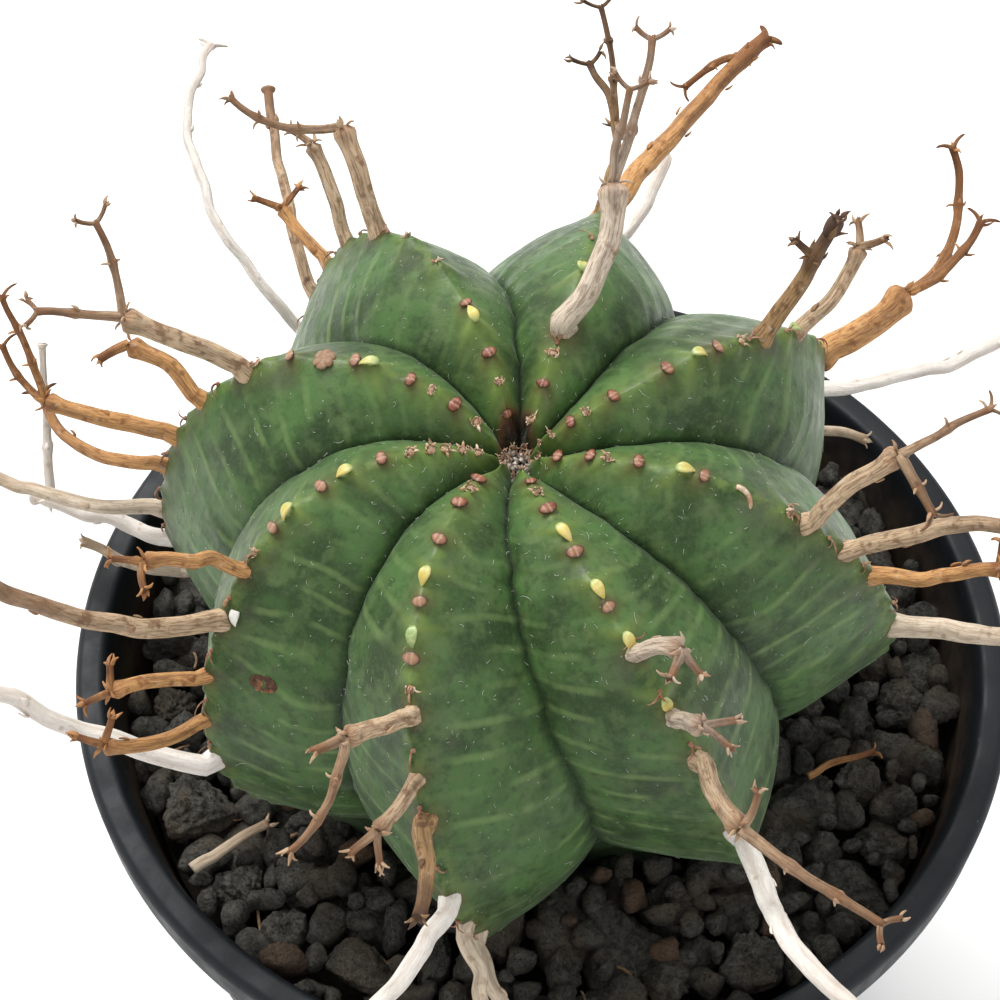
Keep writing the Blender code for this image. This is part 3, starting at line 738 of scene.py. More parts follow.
def skin_finish(settings):
    """Waxy green skin: cloudy greens, thin pale bands, greyed blotches beside the crests,
    fresher green round the crown and on the crests, painted shade in the furrow bottoms, a
    brown cleft with painted shade near black in its middle, rusty sockets and fine white flecks."""
    look = Finish("green_skin", 0.42, 0.25)
    look.shader.inputs["Sheen Weight"].default_value = 0.14
    look.shader.inputs["Sheen Roughness"].default_value = 0.38
    look.shader.inputs["Sheen Tint"].default_value = (0.80, 0.92, 0.76, 1.0)
    way = look.mark("way")
    down = look.mark("down")
    green = tuple(settings.green)
    look.start(look.ease(look.cloud(6.0, 4), 0.36, 0.64), shade(green, 0.55), shade(green, 1.45))
    look.coat(look.ease(look.cloud(2.4, 4), 0.46, 0.66, 0.0, 0.75), (0.076, 0.126, 0.042))
    look.coat(look.ease(look.cloud(1.0, 4), 0.52, 0.32, 0.0, 0.50), shade(green, 0.42))
    wave = look.maths("SINE", look.times(look.mark("band"), math.tau))
    wave = look.maths("ADD", wave, look.times(look.cloud(0.9, 3), 0.5))
    band = look.ease(wave, 0.70, 1.45)
    strength = look.times(look.ease(look.cloud(5.0, 3), 0.40, 0.60), look.ease(way, 0.02, 0.30))
    strength = look.times(strength, look.ease(down, 0.30, 0.80, 0.35, 1.0))
    look.coat(look.times(look.times(band, strength), 0.66), tuple(settings.band_green))
    blotch = look.times(look.ease(look.cloud(4.2, 3), 0.50, 0.68), look.ease(way, 0.50, 0.06))
    look.coat(look.times(blotch, 0.62), (0.066, 0.066, 0.044))
    fresh = look.times(look.ease(down, 0.55, 0.14), look.ease(way, 0.80, 0.05))
    fresh = look.times(fresh, look.ease(look.cloud(1.8, 4), 0.36, 0.62, 0.35, 1.0))
    look.coat(look.times(fresh, 0.78), (0.128, 0.205, 0.034))
    edge = look.times(look.ease(way, 0.16, 0.02), look.ease(look.cloud(1.4, 3), 0.40, 0.62))
    look.coat(look.times(edge, 0.60), (0.125, 0.185, 0.040))
    look.coat(look.times(look.mark("glow"), 0.75), (0.175, 0.235, 0.050))
    # Painted shade: the bottoms of the furrows darkened towards black-green.
    look.coat(look.ease(way, 0.90, 0.99, 0.0, 0.75), (0.010, 0.025, 0.008))
    cleft = look.times(look.mark("cleft"), 1.6)
    # The cleft is tinted brown, then painted near black in its middle as shade in the pit.
    look.coat(look.ease(cleft, 0.10, 0.85), (0.120, 0.055, 0.028))
    look.coat(look.ease(cleft, 0.55, 1.15), (0.010, 0.006, 0.004))
    look.coat(look.times(look.mark("rust"), 0.85), (0.085, 0.030, 0.014))
    grain = look.cloud(0.35, 4)
    look.coat(look.ease(grain, 0.40, 0.78, 0.0, 0.22), (0.105, 0.150, 0.080))
    fleck = look.ease(look.cells(1.2), 0.075, 0.040)
    look.coat(look.times(fleck, 0.55), (0.42, 0.47, 0.36))
    look.colour()
    look.roughness(1.8, 3, 0.34, 0.52)
    relief = look.maths("ADD", look.times(grain, 0.5), look.cloud(1.1, 3))
    look.bump(look.maths("ADD", relief, look.times(band, 0.35)), 0.10, 0.55)
    return look.material


STALK_COLOURS = {
    # light fibre, dark fibre, colour of brown spots and of painted shade in the grooves, tip
    "tan": ((0.62, 0.46, 0.30), (0.215, 0.118, 0.060), (0.055, 0.030, 0.018), (0.250, 0.115, 0.052)),
    "rust": ((0.62, 0.335, 0.130), (0.270, 0.105, 0.034), (0.060, 0.024, 0.012), (0.190, 0.070, 0.026)),
    "bark": ((0.44, 0.270, 0.125), (0.150, 0.075, 0.036), (0.040, 0.022, 0.014), (0.070, 0.032, 0.018)),
    "ash": ((0.64, 0.54, 0.43), (0.260, 0.185, 0.125), (0.070, 0.045, 0.030), (0.270, 0.125, 0.055)),
    "cream": ((0.70, 0.59, 0.46), (0.46, 0.35, 0.245), (0.180, 0.115, 0.070), (0.40, 0.27, 0.165)),
    "white": ((0.82, 0.78, 0.73), (0.74, 0.67, 0.61), (0.420, 0.320, 0.250), (0.70, 0.61, 0.52)),
}


def stalk_finish(name):
    """Dry fibrous stalk: streaks along its length, painted shade in the grooves between the ridges, brown
    spots and darker tips.
    """
    light, dark, dirt_and_groove_shade, tip = STALK_COLOURS[name]
    look = Finish(name + "_stalk", 0.68, 0.35)
    grain = look.mark("grain", vector=True)
    streak = look.cloud(0.22, 5, at=grain)
    fine = look.cloud(0.11, 3, at=grain)
    look.start(look.ease(streak, 0.36, 0.56, 0.25, 1.0), dark, light)
    look.coat(look.ease(fine, 0.42, 0.72, 0.0, 0.45), shade(light, 1.25))
    look.coat(look.ease(look.cloud(1.3, 5), 0.54, 0.68, 0.0, 0.80), dark)
    look.coat(look.ease(look.cloud(0.8, 5), 0.60, 0.72, 0.0, 0.55), (0.66, 0.60, 0.53))
    age = look.maths("ADD", look.mark("age"), look.times(look.cloud(1.5, 4), 0.5))
    worn = tuple(0.45 * (a + b) for a, b in zip(dark, tip))
    look.coat(look.ease(age, 0.60, 1.25, 0.0, 0.85), worn)
    look.coat(look.times(look.mark("tone"), 0.85), tip)
    # Painted shade: the grooves between the ridges darkened with the brown of the spots.
    look.coat(look.times(look.mark("groove"), 0.45), dirt_and_groove_shade)
    spots = look.ease(look.cells(1.9), 0.20, 0.09)
    look.coat(look.times(spots, 0.5), dirt_and_groove_shade)
    look.colour()
    look.link(look.ease(streak, 0.3, 0.7, 0.58, 0.82), look.shader.inputs["Roughness"])
    look.bump(look.maths("ADD", streak, look.times(fine, 0.6)), 0.13, 1.0)
    return look.material


def stone_finish(name, dark, light, tint):
    """Porous lava: cloudy greys with brown patches, small dark pores and bright crumbs."""
    look = Finish(name, 0.88, 0.3)
    look.start(look.ease(look.cloud(1.1, 6, rough=0.7), 0.30, 0.70), dark, light)
    look.coat(look.ease(look.cloud(6.5, 3), 0.48, 0.66, 0.0, 0.7), tint)
    look.coat(look.times(look.mark("ember"), 0.85), (0.150, 0.078, 0.040))
    pores = look.ease(look.cloud(0.30, 5, rough=0.7), 0.45, 0.32)
    look.coat(look.times(pores, 0.65), shade(dark, 0.30))
    crumb = look.ease(look.cloud(0.22, 4, rough=0.7), 0.56, 0.74, 0.0, 0.65)
    look.coat(crumb, shade(light, 2.1))
    look.colour()
    look.roughness(0.9, 3, 0.78, 0.97)
    rough = look.maths("SUBTRACT", look.cloud(0.45, 6, rough=0.7), look.times(pores, 0.5))
    look.bump(rough, 0.60, 1.0)
    return look.material


def plastic_finish(settings):
    """Satin nursery plastic: cloudy charcoal with dust, soil on the inside and light scuffs."""
    look = Finish("pot_plastic", 0.52, 0.26)
    plastic = tuple(settings.plastic)
    look.start(look.cloud(14.0, 4), shade(plastic, 0.85), shade(plastic, 1.2))
    dust = look.ease(look.cloud(0.5, 4), 0.60, 0.80, 0.0, 0.35)
    look.coat(dust, (0.034, 0.032, 0.030))
    soil = look.times(look.mark("soil"), look.ease(look.cloud(2.2, 5), 0.34, 0.62, 0.35, 0.95))
    look.coat(soil, (0.068, 0.046, 0.032))
    scuff = look.ease(look.cells(2.6), 0.075, 0.03, 0.0, 0.35)
    look.coat(scuff, (0.085, 0.082, 0.080))
    look.colour()
    look.roughness(3.0, 5, 0.46, 0.62)
    look.bump(look.cloud(0.30, 3), 0.03, 0.5)
    return look.material


def flake_finish(name, light, dark, roughness=0.6):
    """Thin dry trim: two tones in clouds, darkened by the mark called tone."""
    look = Finish(name, roughness, 0.4)
    look.start(look.ease(look.cloud(0.5, 4), 0.35, 0.68), dark, light)
    look.coat(look.times(look.mark("tone"), 0.9), shade(dark, 0.45))
    look.colour()
    look.bump(look.cloud(0.25, 4), 0.06, 0.7)
    return look.material


def bud_finish():
    """Glossy red-brown bud: a darker rim, pale streaks, and a tanner body where it is pale."""
    look = Finish("bud_brown", 0.42, 0.30)
    look.start(look.ease(look.cloud(0.7, 3), 0.35, 0.65), (0.150, 0.034, 0.017), (0.270, 0.098, 0.046))
    look.coat(look.times(look.mark("pale"), 0.65), (0.40, 0.245, 0.150))
    look.coat(look.times(look.mark("tone"), 0.95), (0.030, 0.012, 0.008))
    look.coat(look.times(look.mark("streak"), 0.40), (0.60, 0.46, 0.36))
    look.colour()
    look.bump(look.cloud(0.22, 3), 0.05, 0.6)
    return look.material


def leaflet_finish():
    """Fresh yellow leaflet in pale clouds, greener at the foot and where its mark says."""
    look = Finish("leaflet_yellow", 0.40, 0.5)
    look.start(look.mark("tone"), (0.60, 0.47, 0.115), (0.265, 0.370, 0.140))
    look.coat(look.ease(look.cloud(0.5, 3), 0.45, 0.75, 0.0, 0.6), (0.66, 0.60, 0.30))
    look.colour()
    look.bump(look.cloud(0.3, 3), 0.04, 0.6)
    return look.material


# ---------------------------------------------------------------- pot and mix
def rounded(profile, radius, steps=5):
    """Outline whose corners are replaced by short curves that start a radius before them."""
    profile = np.asarray(profile, float)
    points = [profile[0]]
    for before, corner, after in zip(profile[:-2], profile[1:-1], profile[2:]):
        back = before - corner
        on = after - corner
        reach = min(radius, 0.45 * np.linalg.norm(back), 0.45 * np.linalg.norm(on))
        start = corner + unit(back) * reach
        stop = corner + unit(on) * reach
        for t in np.linspace(0, 1, steps):
            points.append((1 - t) ** 2 * start + 2 * t * (1 - t) * corner + t * t * stop)
    points.append(profile[-1])
    return np.array(points)


def turned(profile, columns):
    """Rings of a profile of radius and height carried round the upright axis."""
    angle = np.arange(columns) * math.tau / columns
    radius, height = profile[:, 0, None], profile[:, 1, None]
    return np.stack((radius * np.cos(angle), radius * np.sin(angle), height + 0 * angle), -1)


def pot_inner_radius(height):
    """Inside radius of the tapering wall at a height."""
    top = RIM_RADIUS - RIM_WIDTH - LIP_STEP
    bottom = BASE_RADIUS - WALL
    return bottom + (top - bottom) * (height - FLOOR) / (POT_HEIGHT - LIP_DEPTH - FLOOR)


def pot_profile():
    """Outline of the pot wall from the underside up the outside, over the rim to the floor."""
    top = POT_HEIGHT
    lip = top - LIP_DEPTH
    inner = RIM_RADIUS - RIM_WIDTH
    return (
        (4.0, 0.0), (BASE_RADIUS, 0.0), (pot_inner_radius(lip) + WALL, lip - 0.6),
        (RIM_RADIUS - 0.4, lip), (RIM_RADIUS, top - 0.8), (RIM_RADIUS - 0.6, top),
        (inner + 0.5, top), (inner, top - 1.2), (pot_inner_radius(lip), lip),
        (pot_inner_radius(FLOOR), FLOOR), (4.0, FLOOR),
    )


def drain_cutter(angle):
    """Round plug that cuts one drain hole through the floor."""
    shells = Shells()
    x, y = DRAIN_CIRCLE * math.cos(angle), DRAIN_CIRCLE * math.sin(angle)
    rings = turned(np.array(((DRAIN_RADIUS, -2.0), (DRAIN_RADIUS, FLOOR + 2.0))), 32) + (x, y, 0)
    shells.add(rings)
    return new_object("drain", shells.mesh("drain"))


def make_pot(settings):
    """Turned pot with rounded edges; its drain holes are cut and the cuts kept sharp."""
    shells = Shells()
    profile = rounded(pot_profile(), settings.edge_round)
    inside = (profile[:, 0] < RIM_RADIUS - RIM_WIDTH + 0.1) & (profile[:, 1] > FLOOR + 0.5)
    soil = inside * np.clip((POT_HEIGHT - 1.5 - profile[:, 1]) / 6.0, 0, 1)
    soil = np.tile(soil[:, None], (1, POT_COLUMNS))
    shells.add(turned(profile, POT_COLUMNS), first=(0, 0, 0), last=(0, 0, FLOOR), soil=soil)
    pot = shells.make("nursery_pot", plastic_finish(settings), "pot_plastic", "pot")
    for k in range(DRAIN_COUNT):
        cutter = drain_cutter(math.radians(45 + 360 * k / DRAIN_COUNT))
        cut = pot.modifiers.new("drain", "BOOLEAN")
        cut.solver = "EXACT"
        cut.object = cutter
        bpy.context.view_layer.update()
        graph = bpy.context.evaluated_depsgraph_get()
        mesh = bpy.data.meshes.new_from_object(pot.evaluated_get(graph))
        pot.modifiers.clear()
        pot.data = mesh
        bpy.data.objects.remove(cutter)
    pot.data.shade_smooth()
    pot.data.set_sharp_from_angle(angle=math.radians(50))
    return pot


def neck_rings(turn, settings, offset=0.0):
    """Rings of the stem from the root up to the skirt's edge, where the crests begin to
    overhang; each keeps the skirt's outline, drawn in to its own radius."""
    edge = skin(turn, np.full_like(turn, SKIRT_POLAR), settings)
    middle = STEM_MIDDLE[:2]
    out = edge[:, :2] - middle
    crest = float(crest_radius(SKIRT_POLAR)) * math.sin(math.radians(SKIRT_POLAR))
    levels = [(crest, None), *NECK]
    rings = []
    for (r0, z0), (r1, z1) in zip(levels[:-1], levels[1:]):
        for share in np.linspace(0, 1, 6)[:-1]:
            high = edge[:, 2] if z0 is None else np.full(len(turn), STEM_CENTRE + z0)
            z = high + (STEM_CENTRE + z1 - high) * share
            radius = r0 + (r1 - r0) * share
            rings.append((radius, z))
    rings.append((levels[-1][0], np.full(len(turn), STEM_CENTRE + levels[-1][1])))
    placed = []
    for radius, z in rings[1:]:
        length = np.linalg.norm(out, axis=1, keepdims=True)
        flat = middle + out * (radius / crest) + out / length * offset
        placed.append(np.column_stack((flat, z)))
    return np.array(placed[::-1])


def rib_turns(half_columns):
    """Turns round the stem, closer together near crests and furrows."""
    half = 0.25 * (1.0 - np.cos(np.pi * np.arange(half_columns) / half_columns))
    one = np.concatenate((half, 0.5 + half))
    return np.concatenate([rib + one for rib in range(RIB_COUNT)])


def make_stem(settings):
    """Whole stem: neck rings below, then skin rings from the skirt up to the crown's pit."""
    turn = rib_turns(14)
    neck = neck_rings(turn, settings)
    polar = np.concatenate((np.linspace(SKIRT_POLAR, 8, 285), np.linspace(7, 0.8, 14)))
    turns, polars = np.meshgrid(turn, polar)
    body = skin(turns, polars, settings)
    rings = np.concatenate((neck, body))
    way = furrow_way(turn)
    all_polar = np.concatenate((np.full(len(neck), SKIRT_POLAR), polar))
    glow, rust = crest_colours(turns, polars)
    pad = np.zeros((len(neck), len(turn)))
    shells = Shells()
    crown = STEM_MIDDLE + (0, 0, float(crest_radius(0.0)) - CROWN_PIT)
    phase = band_phase(*np.meshgrid(turn, all_polar), settings)
    shells.add(rings, last=crown, way=np.tile(way, (len(rings), 1)),
               down=np.tile(all_polar[:, None] / 100.0, (1, len(turn))), band=phase,
               glow=np.vstack((pad, glow)), rust=np.vstack((pad, rust)),
               cleft=np.vstack((pad, crown_cleft(body))))
    stem = shells.make("ribbed_stem", skin_finish(settings), "green_skin", "stem_body")
    stem.data.set_sharp_from_angle(angle=math.radians(58))
    return stem


def crest_colours(turn, polar):
    """Pale glow round leaflets, buds and scars, and rust round the buds and in the sockets
    of the stalks' feet: humps across the crest and along it."""
    nearest, lateral, place = crest_distances(turn, polar)
    glow = np.zeros(turn.shape)
    rust = np.zeros(turn.shape)
    for number, rib in enumerate(RIBS):
        mine = nearest == number
        for leaflet in rib.leaflets:
            glow += mine * 0.9 * bell(place - arc(leaflet) + 0.3, 0.7) * bell(lateral, 2.0)
        for bud in rib.buds:
            rust += mine * 0.9 * bell(place - arc(bud), 0.85) * bell(lateral, 0.95)
            glow += mine * 0.35 * bell(place - arc(bud), 1.5) * bell(lateral, 1.7)
        for scar in rib.scars:
            glow += mine * 0.5 * bell(place - arc(scar), 1.1) * bell(lateral, 1.6)
        for stalk in STALKS:
            if stalk.rib == rib.name:
                half = stalk.width / 2
                socket = bell(place - arc(stalk.height), half + 0.45) * bell(lateral, half + 0.35)
                rust += mine * 0.95 * socket
    return np.clip(glow, 0, 1), np.clip(rust, 0, 1)


def make_mix(grit, stem):
    """Fine bed under the stones: floor, wall along the pot, lumpy top and the stem's socket."""
    turn = rib_turns(12)
    bed = grit.bed_height
    socket = neck_rings(turn, stem, offset=MIX_CLEARANCE)
    heights = socket[:, :, 2].mean(1)
    below = socket[heights < bed - 1.5][::-1]
    edge = below[0].copy()
    edge[:, 2] = bed
    azimuth = np.arctan2(edge[:, 0], -edge[:, 1])
    bottom = MIX_LOW[2]

    def level_ring(reach, height):
        """Ring round the pot's axis at a height."""
        level = np.full(len(turn), height)
        return np.column_stack((reach * np.sin(azimuth), -reach * np.cos(azimuth), level))

    rings = [level_ring(radius, bottom) for radius in (12, 24)]
    for height in (bottom + 0.4, 20, 45, bed - 0.5):
        rings.append(level_ring(pot_inner_radius(height) - MIX_CLEARANCE, height))
    wall_rings = len(rings)
    rim = level_ring(pot_inner_radius(bed) - MIX_CLEARANCE, bed)
    for share in np.linspace(0.0, 1.0, BED_RINGS):
        rings.append(rim + (edge - rim) * share)
    rings = np.array(rings)
    top = rings[wall_rings:]
    top[:, :, 2] += 0.9 * noise(top, 2.6, 11) + 0.45 * noise(top, 1.1, 12)
    rings = np.concatenate((rings, below))
    shells = Shells()
    shells.add(rings, first=(0, 0, bottom), last=(STEM_X, 0, below[-1][:, 2].mean() - 1.0), ember=0.0)
    # The bed is the same lava as the loose grit, its colours darkened to about a third: painted shade under
    # and between the stones.
    finish = stone_finish("grit_bed", (0.010, 0.009, 0.008), (0.034, 0.030, 0.026), (0.040, 0.028, 0.020))
    return shells.make("grit_bed", finish, "lava_grit", "potting_mix")


# ---------------------------------------------------------------- stones
def stone_rings(rows, columns, seed, pits):
    """Unit lava stone: a ball whose radius is cut by a few flats at random, then roughened
    and, where wanted, pitted by noise."""
    chance = np.random.default_rng(seed)
    sphere = ball(rows, columns)
    flats = unit(chance.normal(size=(STONE_FLATS, 3)))
    reach = chance.uniform(0.52, 0.95, STONE_FLATS)
    facing = np.maximum(sphere @ flats.T, 1e-3)
    cut = np.minimum((reach / facing).min(-1), 1.15)
    radius = 0.04 + 0.96 * cut
    place = sphere + chance.uniform(-50, 50, 3)
    radius = radius + 0.13 * noise(place, 0.55, seed) + 0.10 * noise(place, 0.24, seed + 1)
    if pits:
        small = noise(place, 0.16, seed + 2)
        radius = radius - 0.13 * np.clip(small - 0.15, 0, 1) + 0.045 * noise(place, 0.10, seed + 3)
    return sphere * radius[..., None]


def spin(rings, chance):
    """Rings turned by a random rotation, a unit quaternion written as a matrix."""
    w, x, y, z = unit(chance.normal(size=4))
    matrix = np.array((
        (1 - 2 * (y * y + z * z), 2 * (x * y - z * w), 2 * (x * z + y * w)),
        (2 * (x * y + z * w), 1 - 2 * (x * x + z * z), 2 * (y * z - x * w)),
        (2 * (x * z - y * w), 2 * (y * z + x * w), 1 - 2 * (x * x + y * y))))
    return rings @ matrix.T


def make_large_stones():
    """The named stones, each filling its own solid's box."""
    finish = stone_finish("lava_stone", (0.025, 0.025, 0.021), (0.134, 0.128, 0.110), (0.108, 0.084, 0.058))
    for number, node in enumerate(STONE_NODES):
        low, high = node_box(node)
        rings = stone_rings(60, 88, 100 + number, True)
        bottom, top = rings.min((0, 1)), rings.max((0, 1))
        rings = low + (rings - bottom) / (top - bottom) * (high - low)
        shells = Shells()
        shells.add(rings, ember=0.0)
        shells.make("stone_" + node.rsplit("_", 1)[1], finish, "lava_stone", node)


def stem_radius_at(azimuth, height):
    """Rough radius of the stem's neck at a height, as its furrows and ribs run."""
    (upper, upper_z), (lower, lower_z) = NECK[:2]
    levels = STEM_CENTRE + np.array((lower_z, upper_z, SKIRT_Z))
    crest = np.interp(height, levels, (lower, upper, SKIRT_RADIUS))
    lean = SKIRT_POLAR - TWIST_POLAR
    turn = np.interp(azimuth % 360, (AZIMUTHS[:-1] + TWISTS[:-1] * lean) % 360,
                     np.arange(RIB_COUNT), period=360)
    return crest * (1.0 - 0.16 * furrow_way(turn))


def pack_stones(sizes, placed, grit, chance):
    """Drop balls one at a time: of many random spots between the stem and the pot wall, each
    takes the lowest where it rests on the bed or on the balls already there."""
    spots = []
    inner, outer = PACK_REACH
    for size in sizes:
        r = size / 2
        azimuth = chance.uniform(0, 360, PACK_TRIES)
        reach = np.sqrt(chance.uniform(inner ** 2, outer ** 2, PACK_TRIES))
        x = reach * np.sin(np.radians(azimuth))
        y = -reach * np.cos(np.radians(azimuth))
        z = np.full(PACK_TRIES, grit.bed_height + 0.55 * r)
        others = np.array(placed)
        gap = np.hypot(x[:, None] - others[:, 0], y[:, None] - others[:, 1])
        touch = 0.90 * (r + others[:, 3])
        lift = others[:, 2] + np.sqrt(np.maximum(touch ** 2 - gap ** 2, 0)) * 0.95
        z = np.maximum(z, np.where(gap < touch, lift, 0).max(1))
        from_stem = np.hypot(x - STEM_X, y)
        around = np.degrees(np.arctan2(x - STEM_X, -y))
        clear = from_stem - stem_radius_at(around, z) > 0.75 * r
        clear &= reach < pot_inner_radius(z) - 0.95 * r
        clear &= z + r < grit.top
        if not clear.any():
            continue
        best = np.argmin(np.where(clear, z, np.inf))
        spot = (x[best], y[best], z[best], r)
        placed.append(spot)
        spots.append(spot)
    return spots


def make_grit(grit):
    """Coarse and fine loose lava stones packed round the stem and the named stones."""
    chance = np.random.default_rng(5)
    placed = []
    for node in STONE_NODES:
        low, high = node_box(node)
        placed.append((*(low + high) / 2, (high - low).mean() / 2))
    finish = stone_finish("lava_grit", (0.023, 0.022, 0.019), (0.121, 0.116, 0.100), (0.100, 0.078, 0.054))
    groups = (
        ("coarse_grit", np.sort(chance.uniform(*COARSE_SIZES, grit.coarse))[::-1], 30, 46, 0.0),
        ("fine_grit", np.sort(chance.uniform(*FINE_SIZES, grit.fine))[::-1], 8, 12, 0.04),
    )
    for name, sizes, rows, columns, embers in groups:
        shells = Shells()
        for number, (x, y, z, r) in enumerate(pack_stones(sizes, placed, grit, chance)):
            rings = spin(stone_rings(rows, columns, 1000 + number, rows > 10), chance)
            stretch = chance.uniform(0.66, 1.30, 3)
            ember = 0.75 * (chance.random() < embers) * chance.uniform(0.6, 1.0)
            shells.add((x, y, z) + rings * stretch * r * 1.04, ember=ember)
        shells.make(name, finish, "lava_grit")


# ---------------------------------------------------------------- stalks
def wobble(line, amount, seed):
    """Line moved a little off its course by slow noise, its start kept."""
    along = np.linspace(0, 1, len(line))
    step = np.linalg.norm(np.diff(line, axis=0), axis=1).mean()
    place = np.arange(len(line)) * step
    where = np.stack((place, 0 * place + 9.7 * seed, 0 * place), -1)
    shift = np.stack([noise(where, 3.1, seed + k) for k in range(3)], -1)
    return line + (shift - shift[0]) * amount * np.minimum(1, along * 4)[:, None]


def stalk_limb(shells, line, width, taper, seed, settings, foot=False, tip="torn", joints=(), tone=0.0,
               age=(0.6, 1.0)):
    """Wrinkled tube along a line. Its radius tapers evenly, swells at the foot, the joints
    and the tip, and varies round it in long winding ridges. Its marks are a grain that runs
    with the length, the grooves between ridges for painted shade, dark ends and an age from
    foot to tip."""
    steps = len(line)
    share = np.linspace(0, 1, steps)
    place = share * np.linalg.norm(np.diff(line, axis=0), axis=1).sum()
    half = width / 2 * (1.0 + (taper - 1.0) * share)
    if foot:
        half = half * (1.0 + 0.16 * bell(place - 0.6, 0.9))
    for joint in joints:
        half = half * (1.0 + 0.26 * bell(place - joint * place[-1], width * 0.55))
    if tip in ("torn", "tee", "fork", "star"):
        half = half * (1.0 + 0.18 * bell(place - place[-1], 0.7))
    if tip == "joint":
        half = half * (1.0 + 0.20 * bell(place - place[-1] + 0.3 * width, 0.6 * width))
    if tip in ("round", "joint"):
        into_tip = ((place - place[-1] + 0.5 * width) / (0.55 * width)).clip(0)
        half = half * np.sqrt(np.clip(1.0 - into_tip ** 2, 0.05, 1))
    angle = np.arange(settings.sides) * math.tau / settings.sides
    a, s = np.meshgrid(angle, place)
    ridge = 0.10 * np.cos(3 * a + 0.12 * s + seed) + 0.075 * np.cos(5 * a - 0.16 * s + 2.0 * seed)
    round_point = np.stack((np.cos(a), np.sin(a), s * 0.35 + seed * 3.7), -1)
    ridge = ridge + 0.13 * noise(round_point, 0.7, seed)
    swell = 1.0 + settings.wrinkle * ridge
    rings = sweep(line, half * 1.05, half * 0.95, settings.sides, swell=swell)
    ways = directions_along(line)
    closed = tip in ("round", "joint")
    last = line[-1] + ways[-1] * (0.05 * width if closed else -0.12 * width)
    if not closed:
        rings[-1] += ways[-1] * (0.30 * noise(round_point[-1] * 3, 0.5, seed + 5))[:, None]
    grain = np.stack((np.cos(a) * 1.1, np.sin(a) * 1.1, s * 0.13 + seed * 5.1), -1)
    # Groove: the troughs between the ridges, where the finish paints shade.
    groove = np.clip(-ridge * 6.0, 0, 1)
    ends = (0.3 if tip == "joint" else 0.9) * bell(place - place[-1], 0.5 if closed else 1.0)
    if foot:
        ends = ends + 0.9 * bell(place, 0.35)
    for joint in joints:
        ends = ends + 0.35 * bell(place - joint * place[-1], width * 0.6)
    tones = np.clip(np.tile((ends + tone)[:, None], (1, settings.sides)), 0, 1)
    ages = np.tile(np.clip(age[0] + (age[1] - age[0]) * share, 0, 1)[:, None], (1, settings.sides))
    shells.add(rings, last=last, grain=grain, groove=groove, tone=tones, age=ages)


def scale_leaf(shells, start, way, towards, length, half_width, bend, tone, seed):
    """Dry scale: a curled blade with a keel, thin at the edges."""
    line = curl(start, way, towards, length, bend, 9)
    grain = np.array((0.3 * seed, 0.7, 0.2))
    blade(shells, line, half_width, 0.13, sides=8,
          grain=grain[None, None], groove=0.1, tone=tone, age=0.6)


def scales_round(shells, centre, way, radius, count, length, spread, seed, tone=0.45):
    """Ring of scales standing off a joint or a tip, leaning by a spread from its direction."""
    chance = np.random.default_rng(seed)
    side = unit(np.cross(way, (0.3, 0.5, 0.81)))
    other = np.cross(way, side)
    for k in range(count):
        a = math.tau * (k + chance.uniform(-0.3, 0.3)) / count
        out = math.cos(a) * side + math.sin(a) * other
        lean = math.radians(spread + chance.uniform(-18, 18))
        off = math.cos(lean) * way + math.sin(lean) * out
        size = length * chance.uniform(0.7, 1.25)
        towards = out if chance.random() < 0.6 else -out
        scale_leaf(shells, centre + out * radius * 0.6, off, towards, size, 0.25 * size ** 0.5,
                   chance.uniform(20, 95), tone + chance.uniform(-0.4, 0.3), seed + k)


def finish_tip(shells, line, width, tip, seed, settings):
    """End of a stalk: frayed scales, prongs, a cross-piece, a cup or a seed capsule."""
    way = directions_along(line)[-1]
    end = line[-1]
    side = unit(np.cross(way, (0.0, 0.0, 1.0)))
    if tip == "torn":
        scales_round(shells, end - way * 0.4, way, width / 2, 4, 1.1, 24, seed, 0.5)
    elif tip == "star":
        scales_round(shells, end - way * 0.3, way, width / 2, 5, 1.6, 58, seed, 0.4)
    elif tip == "fork":
        for sign in (-1, 1):
            lean = unit(way + sign * 0.75 * side)
            arm = curl(end - way * 0.3, lean, sign * side - way * 0.2, 2.1, 55, 8)
            stalk_limb(shells, arm, width * 0.62, 0.45, seed + sign, settings, tip="round", tone=0.25)
        scales_round(shells, end - way * 0.5, way, width / 2, 2, 1.2, 50, seed + 9, 0.6)
    elif tip == "tee":
        for sign in (-1, 1):
            lean = unit(0.35 * way + sign * side)
            arm = curl(end - way * 0.2, lean, way, 1.9, 30, 8)
            stalk_limb(shells, arm, width * 0.70, 0.8, seed + sign, settings, tip="torn", tone=0.2)
            scales_round(shells, arm[-1], lean, width * 0.3, 3, 0.8, 45, seed + 3 * sign + 5, 0.5)
    elif tip == "cup":
        swell = np.array((0.6, 0.9, 1.5, 1.7, 1.35, 0.7))[:, None]
        rise = np.array((-0.5, -0.1, 0.15, 0.35, 0.45, 0.25))
        rings = sweep(end + way * rise[:, None], width / 2, width / 2, settings.sides, swell=swell)
        shells.add(rings, grain=np.zeros((1, 1, 3)), groove=0.2, tone=0.5, age=0.8)
    elif tip == "capsule":
        angle = np.arange(18) * math.tau / 18
        polar = np.linspace(np.pi, 0, 14)[1:-1]
        lobes = 1.0 - 0.22 * np.abs(np.cos(1.5 * angle))[None] * np.sin(polar)[:, None]
        reach = 0.92 * np.sin(polar) ** 0.8
        middle = end + way * (0.9 + 1.25 * np.cos(polar))[:, None]
        rings = sweep(middle, reach, reach, 18, side=side, swell=lobes)
        shells.add(rings, grain=np.zeros((1, 1, 3)), groove=1.0, tone=1.0, age=1.0)
        scales_round(shells, end + way * 1.9, way, 0.7, 5, 1.0, 35, seed + 2, 1.0)
        scales_round(shells, end - way * 0.3, way, 0.6, 4, 1.7, 30, seed + 5, 0.7)


